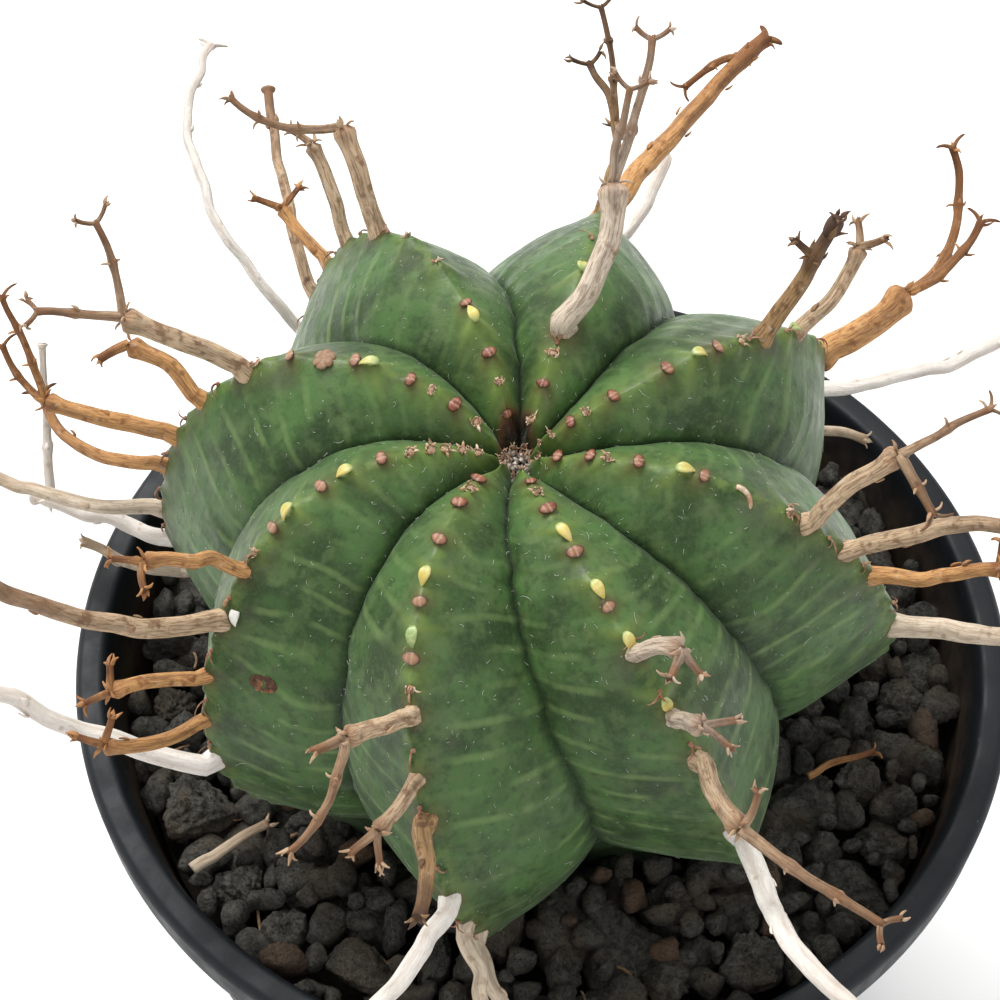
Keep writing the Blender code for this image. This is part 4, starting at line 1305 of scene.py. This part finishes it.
def make_stalk(stalk, settings, finishes):
    """One dry stalk: foot in its socket, main limb, scaly joints, forks and broken tips."""
    seed = 17 + 7 * STALKS.index(stalk)
    pale = stalk.finish in PALE_FINISHES
    crest, azimuth, rise = crest_place(stalk.rib, stalk.height)
    out = heading(rise, azimuth)
    start = crest + out * FOOT_RISE
    steps = max(8, round(stalk.length / settings.ring_step))
    line = bent_line(start, azimuth, stalk.length, stalk.rise, stalk.turn, steps)
    root = crest + out * np.linspace(-0.9, 0.8, 5)[:, None]
    line = np.vstack((root, wobble(line, 0.50 if pale else 0.30, seed)))
    shells = Shells()
    end_fork = bool(stalk.forks) and stalk.forks[0].at == 1.0
    taper = 0.92 if end_fork else 0.58 if stalk.finish in ("rust", "bark") else 0.70
    ages = (0.25, 0.55) if end_fork else (0.0, 0.95)
    joints = sorted({fork.at for fork in stalk.forks})
    tip = "joint" if end_fork else stalk.tip
    tone = 0.12 * (seed % 5) / 4
    stalk_limb(shells, line, stalk.width, taper, seed, settings, foot=True, tip=tip, joints=joints, tone=tone,
               age=ages)
    if not end_fork:
        finish_tip(shells, line, stalk.width * taper, stalk.tip, seed, settings)
    ways = directions_along(line)
    for joint in joints:
        index = round(joint * (len(line) - 1))
        scales_round(shells, line[index], ways[index], stalk.width / 2, 4, 1.15, 55, seed + 3)
    for number, fork in enumerate(stalk.forks):
        at = line[round(fork.at * (len(line) - 1))]
        steps = max(7, round(fork.length / settings.ring_step))
        arm = bent_line(at, azimuth, fork.length, fork.rise, fork.turn, steps)
        arm = wobble(arm, 0.22, seed + 20 + number)
        longer = fork.length > 5
        knots = (0.35, 0.68) if fork.length > 10 else (0.55,) if longer else ()
        stalk_limb(shells, arm, FORK_WIDTH * fork.width, FORK_TAPER, seed + 11 + number, settings, tip="torn",
                   tone=tone + 0.1, joints=knots)
        for knot in knots:
            index = int(knot * (len(arm) - 1))
            scales_round(shells, arm[index], directions_along(arm)[index], fork.width / 2, 3, 0.9, 50,
                         seed + 40 + number)
        tip = stalk.tip if longer else "torn"
        finish_tip(shells, arm, fork.width * FORK_TAPER, tip, seed + 31 + number, settings)
    nubs = np.random.default_rng(seed + 50)
    for share in nubs.uniform(0.25, 0.85, max(1, int(stalk.length / 8))):
        index = int(share * (len(line) - 1))
        way = ways[index]
        side = unit(np.cross(way, nubs.normal(size=3)))
        scale_leaf(shells, line[index] + side * stalk.width * 0.4, unit(way + 0.5 * side), -side,
                   1.1, 0.35, 30, 0.5, seed)
    return shells.make("stalk_" + stalk.name, finishes[stalk.finish], "pale_stalk" if pale else "brown_stalk",
                       "flower_stalk_" + stalk.name)


def make_twig(twig, settings, finishes):
    """Short dry twig lying across the stones, with a torn end."""
    ground = MIX_HIGH[2] - 0.5
    start, end = (heading(0, azimuth) * reach + (0, 0, ground + height)
                  for azimuth, reach, height in (twig.start, twig.end))
    share = np.linspace(0, 1, 26)[:, None]
    line = start + (end - start) * share + (0, 0, 0.4) * np.sin(np.pi * share)
    seed = int(twig.name)
    line = wobble(line, 0.3, 5 + seed)
    shells = Shells()
    stalk_limb(shells, line, twig.width, 0.7, 3 + seed, settings, tip="torn")
    scales_round(shells, line[-1], directions_along(line)[-1], twig.width / 2, 3, 1.0, 30, 60 + seed)
    return shells.make("twig_" + twig.name, finishes[twig.finish], "brown_stalk", "fallen_twig_" + twig.name)


# ---------------------------------------------------------------- what stands on the crests
# Places are a turn round the ribs, whole on a crest, and an angle from the top
BUD_HALVES = (0.76, 0.50, 0.22)
SHRED_PLACE = (2.0, 54.5)
STUB_PLACE = (6.0, 51.0)
WOUND_PLACE = (7.20, 86.0)
FLAKE_PLACE = (7.045, 76.0)
WOOL_CRUMBS = 150
CROWN_FLAKES = 80
FIBRES = 1150
FIBRE_RADIUS = 0.013
FIBRE_POLARS = (125, 12)
ROOTLETS = 26
ROOTLET_LIMIT = 41.5


def make_buds(stem):
    """Dormant buds: half-sunk flattened balls with a dark rim and two notches across that
    carry pale streaks; those lower down are paler."""
    shells = Shells()
    chance = np.random.default_rng(21)
    sphere = ball(12, 22)
    x, y, z = np.moveaxis(sphere, -1, 0)
    for number, rib in enumerate(RIBS):
        for bud in rib.buds:
            point, out, down, aside = spot_frame(number, bud, stem)
            size = chance.uniform(0.85, 1.15) * (0.85 if bud < 22 else 1.0)
            wide, tall, high = (half * size for half in BUD_HALVES)
            notch = 1.0 - 0.16 * bell(x - 0.1, 0.13) - 0.10 * bell(x + 0.45, 0.1)
            swell = 1.0 + 0.07 * noise(sphere + 5 * number + bud, 0.6, 4)
            tilt = chance.uniform(-0.25, 0.25)
            a = aside * math.cos(tilt) + down * math.sin(tilt)
            b = np.cross(out, a)
            rings = (point + out * 0.05
                     + a * (x * swell * wide)[..., None]
                     - b * (y * swell * tall)[..., None]
                     + out * (z * notch * swell * high)[..., None])
            rings = rings[:, ::-1]
            streak = np.clip(bell(x - 0.1, 0.10) + 0.8 * bell(x + 0.45, 0.08), 0, 1) * (z > 0.3)
            tone = bell(z - 0.15, 0.42) * (z < 0.75)
            shells.add(rings, first=point - out * high, last=point + out * high,
                       streak=streak[:, ::-1], tone=tone[:, ::-1], pale=min(max((bud - 30) / 25, 0), 1))
    shells.make("dormant_buds", bud_finish(), "green_skin")


def make_leaflets(stem):
    """Small teardrop leaflets on the crests: a width that rises as a root and falls as a
    power along a lifted line, wide above and sharp below, with raised edges."""
    shells = Shells()
    chance = np.random.default_rng(22)
    edges = np.abs(np.cos(np.arange(12) * math.tau / 12))[None]
    for number, rib in enumerate(RIBS):
        for leaflet in rib.leaflets:
            length = chance.uniform(1.8, 2.4)
            point, out, down, aside = spot_frame(number, leaflet, stem)
            share = np.linspace(0, 1, 14)
            lean = chance.uniform(-0.35, 0.35)
            way = unit(down + lean * aside)
            lift = 0.15 + 0.40 * np.sin(np.pi * share ** 0.8) + 0.15 * share
            line = point + way * (length * (share - 0.35))[:, None] + out * lift[:, None]
            shape = 2.6 * np.sqrt(share + 0.02) * (1.0 - share) ** 1.35 + 0.025
            side = np.cross(out, way)
            rings = sweep(line, 0.42 * shape, 0.17 * shape + 0.03, 12, side=side, swell=1.0 + 0.35 * edges)
            rings = rings + out * (0.16 * edges[..., None] * shape[:, None, None])
            tone = np.tile((0.75 * bell(share, 0.22) + chance.random() ** 2)[:, None].clip(0, 1), (1, 12))
            shells.add(rings, first=line[0], last=line[-1], tone=tone)
    shells.make("leaflets", leaflet_finish(), "green_skin")


def papery_scar(shells, point, out, down, aside, size, chance):
    """Small torn scar: a ring of pale crumbs round a dark middle, with a few papery shreds."""
    for k in range(3):
        shift = chance.uniform(-0.16, 0.16, 2) * size
        axes = np.array((aside * 0.34, down * 0.26, out * 0.13)) * size * chance.uniform(0.8, 1.1)
        lump(shells, point + shift[0] * aside + shift[1] * down + out * 0.04, axes, rough=0.5, seed=k + 3,
             tone=chance.uniform(0.6, 1.0))
    for k in range(11):
        a = math.tau * (k + chance.uniform(-0.4, 0.4)) / 11
        off = math.cos(a) * aside + math.sin(a) * down * 0.8
        reach = chance.uniform(0.40, 0.58) * size
        axes = np.array((np.cross(out, off) * 0.17, off * 0.09, out * 0.16)) * size
        axes = axes * chance.uniform(0.6, 1.3, (3, 1))
        lump(shells, point + off * reach + out * 0.08, axes, rows=5, columns=8, rough=0.6, seed=k + 7,
             tone=chance.random() ** 3)
    for k in range(4):
        a = chance.uniform(0, math.tau)
        off = math.cos(a) * aside + math.sin(a) * down
        line = curl(point + off * 0.45 * size + out * 0.04, unit(out * 0.9 + off), -off if k % 2 else off,
                    size * chance.uniform(0.4, 0.9), chance.uniform(40, 140), 7)
        blade(shells, line, 0.15 * size, 0.05, sides=6, side=np.cross(out, off), blunt=0.7,
              tone=0.4 * chance.random())


def make_scars(stem):
    """Torn remains where stalks and leaflets have fallen: papery scars on the crests, a curled
    shred on rib c and a dark stub on rib g."""
    shells = Shells()
    chance = np.random.default_rng(23)
    for number, rib in enumerate(RIBS):
        for scar in rib.scars:
            spot = spot_frame(number, scar, stem)
            papery_scar(shells, *spot, chance.uniform(0.75, 1.15), chance)
    shred, out, down, aside = spot_frame(*SHRED_PLACE, stem)
    line = curl(shred - down * 1.2 + out * 0.35, unit(down + 0.2 * aside), out * -0.6 - aside, 3.2, 110, 14)
    blade(shells, line, 0.34, 0.26, blunt=0.8, tone=0.0)
    stub, out, down, aside = spot_frame(*STUB_PLACE, stem)
    for k in range(7):
        a = k * math.tau / 6
        size, spread = (0.75, 0.0) if k == 6 else (0.55, 0.62)
        spot = stub + spread * (math.cos(a) * aside + math.sin(a) * down)
        lump(shells, spot, (aside * size, down * size, out * 0.28), rough=0.35, seed=k, tone=0.85)
    finish = flake_finish("scar_brown", (0.66, 0.54, 0.40), (0.40, 0.215, 0.115))
    shells.make("crest_scars", finish, "green_skin")


def make_face_scar(stem):
    """Old corky wound on the face beside rib h: an oval ring of dark crumbs, paler along one
    side, round crumbs that grow paler towards the middle."""
    shells = Shells()
    point, out, down, aside = spot_frame(*WOUND_PLACE, stem)
    chance = np.random.default_rng(31)
    for k in range(24):
        a = k * math.tau / 24
        spot = point + 1.15 * math.cos(a) * aside + 0.68 * math.sin(a) * down
        crust = 0.0 if math.sin(a) > 0.3 and math.cos(a) > -0.5 else 0.95
        axes = np.array((aside * 0.22, down * 0.26, out * 0.13)) * chance.uniform(0.7, 1.3)
        lump(shells, spot, axes, rough=0.4, seed=k, tone=crust)
    for k in range(18):
        reach = math.sqrt(chance.random())
        a = chance.uniform(0, math.tau)
        spot = point + 0.95 * reach * math.cos(a) * aside + 0.55 * reach * math.sin(a) * down
        axes = (aside * 0.26, down * 0.28, out * 0.12)
        lump(shells, spot - out * 0.02, axes, rough=0.4, seed=40 + k, tone=0.35 + 0.6 * reach)
    finish = flake_finish("scar_cork", (0.42, 0.20, 0.085), (0.100, 0.040, 0.020), 0.75)
    shells.make("face_scar", finish, "green_skin")


def tooth_heights(rib):
    """Angles between neighbouring stalks of a rib, where a leaf thread stood."""
    feet = sorted(stalk.height for stalk in STALKS if stalk.rib == rib.name)
    feet = [feet[0] - 8] + feet
    return [(low + high) / 2 + 0.5 for low, high in zip(feet[:-1], feet[1:])]


def make_threads(stem):
    """Withered leaf threads and red tooth tips between the stalks on the lower crests."""
    shells = Shells()
    chance = np.random.default_rng(24)
    for number, rib in enumerate(RIBS):
        for height in tooth_heights(rib):
            point, out, down, aside = spot_frame(number, height, stem)
            axes = (aside * 0.24, down * 0.22, out * 0.20)
            lump(shells, point + out * 0.1, axes, rough=0.3, seed=number, tone=0.25)
            for _ in range(2):
                lean = unit(out * 0.7 + down * chance.uniform(0.2, 1.0) + aside * chance.uniform(-0.7, 0.7))
                line = curl(point + out * 0.15, lean, aside * chance.uniform(-1, 1) - out * 0.6,
                            chance.uniform(1.2, 2.3), chance.uniform(60, 170), 11)
                blade(shells, line, 0.13, 0.07, sides=6, tone=chance.uniform(0, 0.35))
    finish = flake_finish("thread_brown", (0.42, 0.26, 0.16), (0.23, 0.085, 0.045))
    shells.make("leaf_threads", finish, "green_skin")


def make_crown(stem):
    """Growing point: grey wool crumbs in the pit, thicker in its middle, brown papery flakes
    round it and a small torn scar at the top of each rib."""
    chance = np.random.default_rng(25)
    wool = Shells()
    flakes = Shells()
    centre = STEM_MIDDLE + (0, 0, float(crest_radius(0.0)) - CROWN_PIT)
    for k in range(WOOL_CRUMBS):
        a = chance.uniform(0, math.tau)
        reach = 2.3 * math.sqrt(chance.random())
        spot = centre + (reach * math.sin(a), -0.75 * reach * math.cos(a) - 0.4, 1.40 - 0.08 * reach ** 2)
        spot[2] += chance.uniform(-0.35, 0.45)
        size = chance.uniform(0.10, 0.30)
        lump(wool, spot, np.eye(3) * size * chance.uniform(0.6, 1.4, 3), rows=4, columns=7, rough=0.6, seed=k,
             tone=chance.random() ** 2)
    for _ in range(CROWN_FLAKES):
        a = chance.uniform(0, math.tau)
        reach = chance.uniform(0.6, 3.4)
        out = np.array((math.sin(a), -math.cos(a), 0.0))
        spot = centre + out * reach + (0, 0, 1.55 - 0.03 * reach ** 2)
        way = unit(out * chance.uniform(-0.5, 0.9) + np.array((0, 0, 0.9)) + chance.normal(size=3) * 0.4)
        line = curl(spot, way, out, chance.uniform(0.5, 1.2), chance.uniform(20, 120), 8)
        blade(flakes, line, chance.uniform(0.12, 0.26), 0.05, tone=chance.uniform(0, 1.0))
    for number in range(RIB_COUNT):
        spot = spot_frame(number, chance.uniform(8.5, 12.0), stem)
        papery_scar(flakes, *spot, chance.uniform(0.55, 0.85), chance)
    wool_grey = flake_finish("wool_grey", (0.66, 0.62, 0.55), (0.36, 0.30, 0.25), 0.9)
    wool.make("crown_wool", wool_grey, "green_skin")
    flake_brown = flake_finish("flake_brown", (0.58, 0.44, 0.31), (0.26, 0.120, 0.062))
    flakes.make("crown_flakes", flake_brown, "green_skin")


def make_fibres(stem):
    """Stray pale fibres lying on the skin, most of them short dashes, spread evenly over its
    area, and one white flake at the foot of a stalk."""
    shells = Shells()
    chance = np.random.default_rng(26)
    turn = chance.uniform(0, RIB_COUNT, FIBRES)
    low, high = (math.cos(math.radians(polar)) for polar in FIBRE_POLARS)
    polar = np.degrees(np.arccos(chance.uniform(low, high, FIBRES)))
    point, out, down, aside = skin_frame(turn, polar, stem)
    lay = chance.uniform(0, math.tau, FIBRES)
    length = chance.uniform(0.18, 0.52, FIBRES) + 0.8 * (chance.random(FIBRES) < 0.03)
    for k in range(FIBRES):
        way = math.cos(lay[k]) * down[k] + math.sin(lay[k]) * aside[k]
        line = curl(point[k] + out[k] * 0.03, unit(way + 0.12 * out[k]), np.cross(out[k], way), length[k],
                    chance.uniform(10, 90), 4)
        shells.add(sweep(line, FIBRE_RADIUS, FIBRE_RADIUS, 3), tone=0.0)
    flake, out, down, aside = spot_frame(*FLAKE_PLACE, stem)
    line = curl(flake + out * 0.1, unit(0.6 * out + down + 0.3 * aside), aside - out, 1.5, 50, 8)
    blade(shells, line, 0.50, 0.06, side=aside, blunt=0.8, tone=0.0)
    finish = flake_finish("fibre_white", (0.74, 0.74, 0.70), (0.60, 0.60, 0.55), 0.7)
    shells.make("stray_fibres", finish, "green_skin")


def make_rootlets():
    """Thin dry rootlets and straws lying between the stones."""
    shells = Shells()
    chance = np.random.default_rng(27)
    for _ in range(ROOTLETS):
        azimuth = chance.uniform(0, 360)
        reach = chance.uniform(31, 41)
        start = heading(0, azimuth) * reach + (0, 0, chance.uniform(71.5, 73.5))
        way = unit(np.append(chance.normal(size=2), 0.15))
        line = curl(start, way, np.cross(way, (0, 0, 1.0)), chance.uniform(2, 6), chance.uniform(20, 130), 16)
        if np.hypot(line[:, 0], line[:, 1]).max() > ROOTLET_LIMIT:
            continue
        thick = chance.uniform(0.07, 0.2)
        shells.add(sweep(line, thick, thick, 6), tone=chance.uniform(0, 0.5))
    finish = flake_finish("rootlet_brown", (0.36, 0.24, 0.14), (0.17, 0.09, 0.05), 0.8)
    shells.make("rootlets", finish, "lava_grit")


# ---------------------------------------------------------------- stage
CAMERA_PLACE = (0.0, -0.1415, 0.2996)
CAMERA_LOOK = (-0.0179, 0.5874, -0.8091)
CAMERA_LENS = 92.12
FLOOR_REACH = 4.0
KEY_PLACE = (-0.35, 0.45, 0.85)
FILL_PLACE = (0.45, -0.55, 0.50)


def add_lamp(name, power, size, place, aim, colour):
    """Large soft lamp turned towards a point."""
    lamp = bpy.data.lights.new(name, "AREA")
    lamp.energy = power
    lamp.size = size
    lamp.color = colour
    holder = new_object(name, lamp)
    holder.location = place
    holder.rotation_euler = (Vector(aim) - Vector(place)).to_track_quat("-Z", "Y").to_euler()


def make_stage(settings):
    """Plain white floor, even sky, a big lamp behind and to the left, a weak one in front."""
    scene = bpy.context.scene
    mesh = bpy.data.meshes.new("floor")
    corners = [(x * FLOOR_REACH, y * FLOOR_REACH, 0) for x, y in ((-1, -1), (1, -1), (1, 1), (-1, 1))]
    mesh.from_pydata(corners, [], [(0, 1, 2, 3)])
    look = Finish("floor_white", 0.9, 0.0)
    look.start(look.cloud(60.0, 2), (0.86, 0.86, 0.86), (0.90, 0.90, 0.90))
    look.colour()
    mesh.materials.append(look.material)
    floor = new_object("floor", mesh)
    world = bpy.data.worlds.new("sky")
    world.use_nodes = True
    world.node_tree.nodes["Background"].inputs["Color"].default_value = (1.0, 1.0, 1.0, 1.0)
    world.node_tree.nodes["Background"].inputs["Strength"].default_value = settings.sky
    scene.world = world
    middle = (0.0, 0.0, POT_HEIGHT * MM)
    add_lamp("key_lamp", settings.key, 0.55, KEY_PLACE, middle, (1.0, 0.99, 0.97))
    add_lamp("fill_lamp", settings.fill, 0.35, FILL_PLACE, middle, (0.97, 0.98, 1.0))
    camera = new_object("camera", bpy.data.cameras.new("camera"))
    camera.data.lens = CAMERA_LENS
    camera.data.clip_start = 0.01
    camera.location = CAMERA_PLACE
    camera.rotation_euler = Vector(CAMERA_LOOK).to_track_quat("-Z", "Y").to_euler()
    scene.camera = camera
    scene.view_settings.view_transform = "Standard"


# ---------------------------------------------------------------- operators
class EUPHORBIA_OT_stage(bpy.types.Operator):
    """Add the floor, the light and the camera"""

    bl_idname = "euphorbia.stage"
    bl_label = "Stage"

    def execute(self, context):
        make_stage(context.scene.euphorbia_stage)
        return {"FINISHED"}


class EUPHORBIA_OT_pot(bpy.types.Operator):
    """Add the nursery pot"""

    bl_idname = "euphorbia.pot"
    bl_label = "Pot"

    def execute(self, context):
        make_pot(context.scene.euphorbia_pot)
        return {"FINISHED"}


class EUPHORBIA_OT_mix(bpy.types.Operator):
    """Add the bed of fine grit"""

    bl_idname = "euphorbia.mix"
    bl_label = "Grit bed"

    def execute(self, context):
        make_mix(context.scene.euphorbia_grit, context.scene.euphorbia_stem)
        return {"FINISHED"}


class EUPHORBIA_OT_stones(bpy.types.Operator):
    """Add the large lava stones"""

    bl_idname = "euphorbia.stones"
    bl_label = "Large stones"

    def execute(self, context):
        make_large_stones()
        return {"FINISHED"}


class EUPHORBIA_OT_grit(bpy.types.Operator):
    """Pack the coarse and fine grit round the stem"""

    bl_idname = "euphorbia.grit"
    bl_label = "Loose grit"

    def execute(self, context):
        make_grit(context.scene.euphorbia_grit)
        make_rootlets()
        return {"FINISHED"}


class EUPHORBIA_OT_stem(bpy.types.Operator):
    """Add the ribbed green stem"""

    bl_idname = "euphorbia.stem"
    bl_label = "Stem"

    def execute(self, context):
        make_stem(context.scene.euphorbia_stem)
        return {"FINISHED"}


class EUPHORBIA_OT_crests(bpy.types.Operator):
    """Add buds, leaflets, scars and threads to the crests"""

    bl_idname = "euphorbia.crests"
    bl_label = "Buds and leaflets"

    def execute(self, context):
        stem = context.scene.euphorbia_stem
        make_buds(stem)
        make_leaflets(stem)
        make_scars(stem)
        make_face_scar(stem)
        make_threads(stem)
        return {"FINISHED"}


class EUPHORBIA_OT_crown(bpy.types.Operator):
    """Add the woolly growing point and the stray fibres"""

    bl_idname = "euphorbia.crown"
    bl_label = "Crown and fibres"

    def execute(self, context):
        make_crown(context.scene.euphorbia_stem)
        make_fibres(context.scene.euphorbia_stem)
        return {"FINISHED"}


class EUPHORBIA_OT_stalks(bpy.types.Operator):
    """Add the dry flower stalks and the fallen twigs"""

    bl_idname = "euphorbia.stalks"
    bl_label = "Dry stalks"

    def execute(self, context):
        settings = context.scene.euphorbia_stalks
        finishes = {name: stalk_finish(name) for name in STALK_COLOURS}
        for stalk in STALKS:
            make_stalk(stalk, settings, finishes)
        for twig in TWIGS:
            make_twig(twig, settings, finishes)
        return {"FINISHED"}


OPERATORS = (
    EUPHORBIA_OT_stage, EUPHORBIA_OT_pot, EUPHORBIA_OT_mix, EUPHORBIA_OT_stones, EUPHORBIA_OT_grit,
    EUPHORBIA_OT_stem, EUPHORBIA_OT_crests, EUPHORBIA_OT_crown, EUPHORBIA_OT_stalks,
)
SETTINGS = {
    "euphorbia_pot": PotSettings, "euphorbia_stem": StemSettings, "euphorbia_stalks": StalkSettings,
    "euphorbia_grit": GritSettings, "euphorbia_stage": StageSettings,
}


class EUPHORBIA_PT_panel(bpy.types.Panel):
    """Buttons and sizes of the potted euphorbia"""

    bl_idname = "EUPHORBIA_PT_panel"
    bl_label = "Potted euphorbia"
    bl_space_type = "VIEW_3D"
    bl_region_type = "UI"
    bl_category = "Euphorbia"

    def draw(self, context):
        layout = self.layout
        for operator in OPERATORS:
            layout.operator(operator.bl_idname)
        for name, group in SETTINGS.items():
            box = layout.box()
            box.label(text=group.__doc__)
            for prop in group.__annotations__:
                box.prop(getattr(context.scene, name), prop)


def register():
    """Add the settings, the operators and the panel to Blender."""
    for cls in (*SETTINGS.values(), *OPERATORS, EUPHORBIA_PT_panel):
        bpy.utils.register_class(cls)
    for name, group in SETTINGS.items():
        setattr(bpy.types.Scene, name, PointerProperty(type=group))


def unregister():
    """Take them out again."""
    for name in SETTINGS:
        delattr(bpy.types.Scene, name)
    for cls in reversed((*SETTINGS.values(), *OPERATORS, EUPHORBIA_PT_panel)):
        bpy.utils.unregister_class(cls)


def main():
    """Build the stage and every piece."""
    register()
    bpy.ops.euphorbia.stage()
    bpy.ops.euphorbia.pot()
    bpy.ops.euphorbia.mix()
    bpy.ops.euphorbia.stones()
    bpy.ops.euphorbia.grit()
    bpy.ops.euphorbia.stem()
    bpy.ops.euphorbia.crests()
    bpy.ops.euphorbia.crown()
    bpy.ops.euphorbia.stalks()


if __name__ == "__main__":
    main()
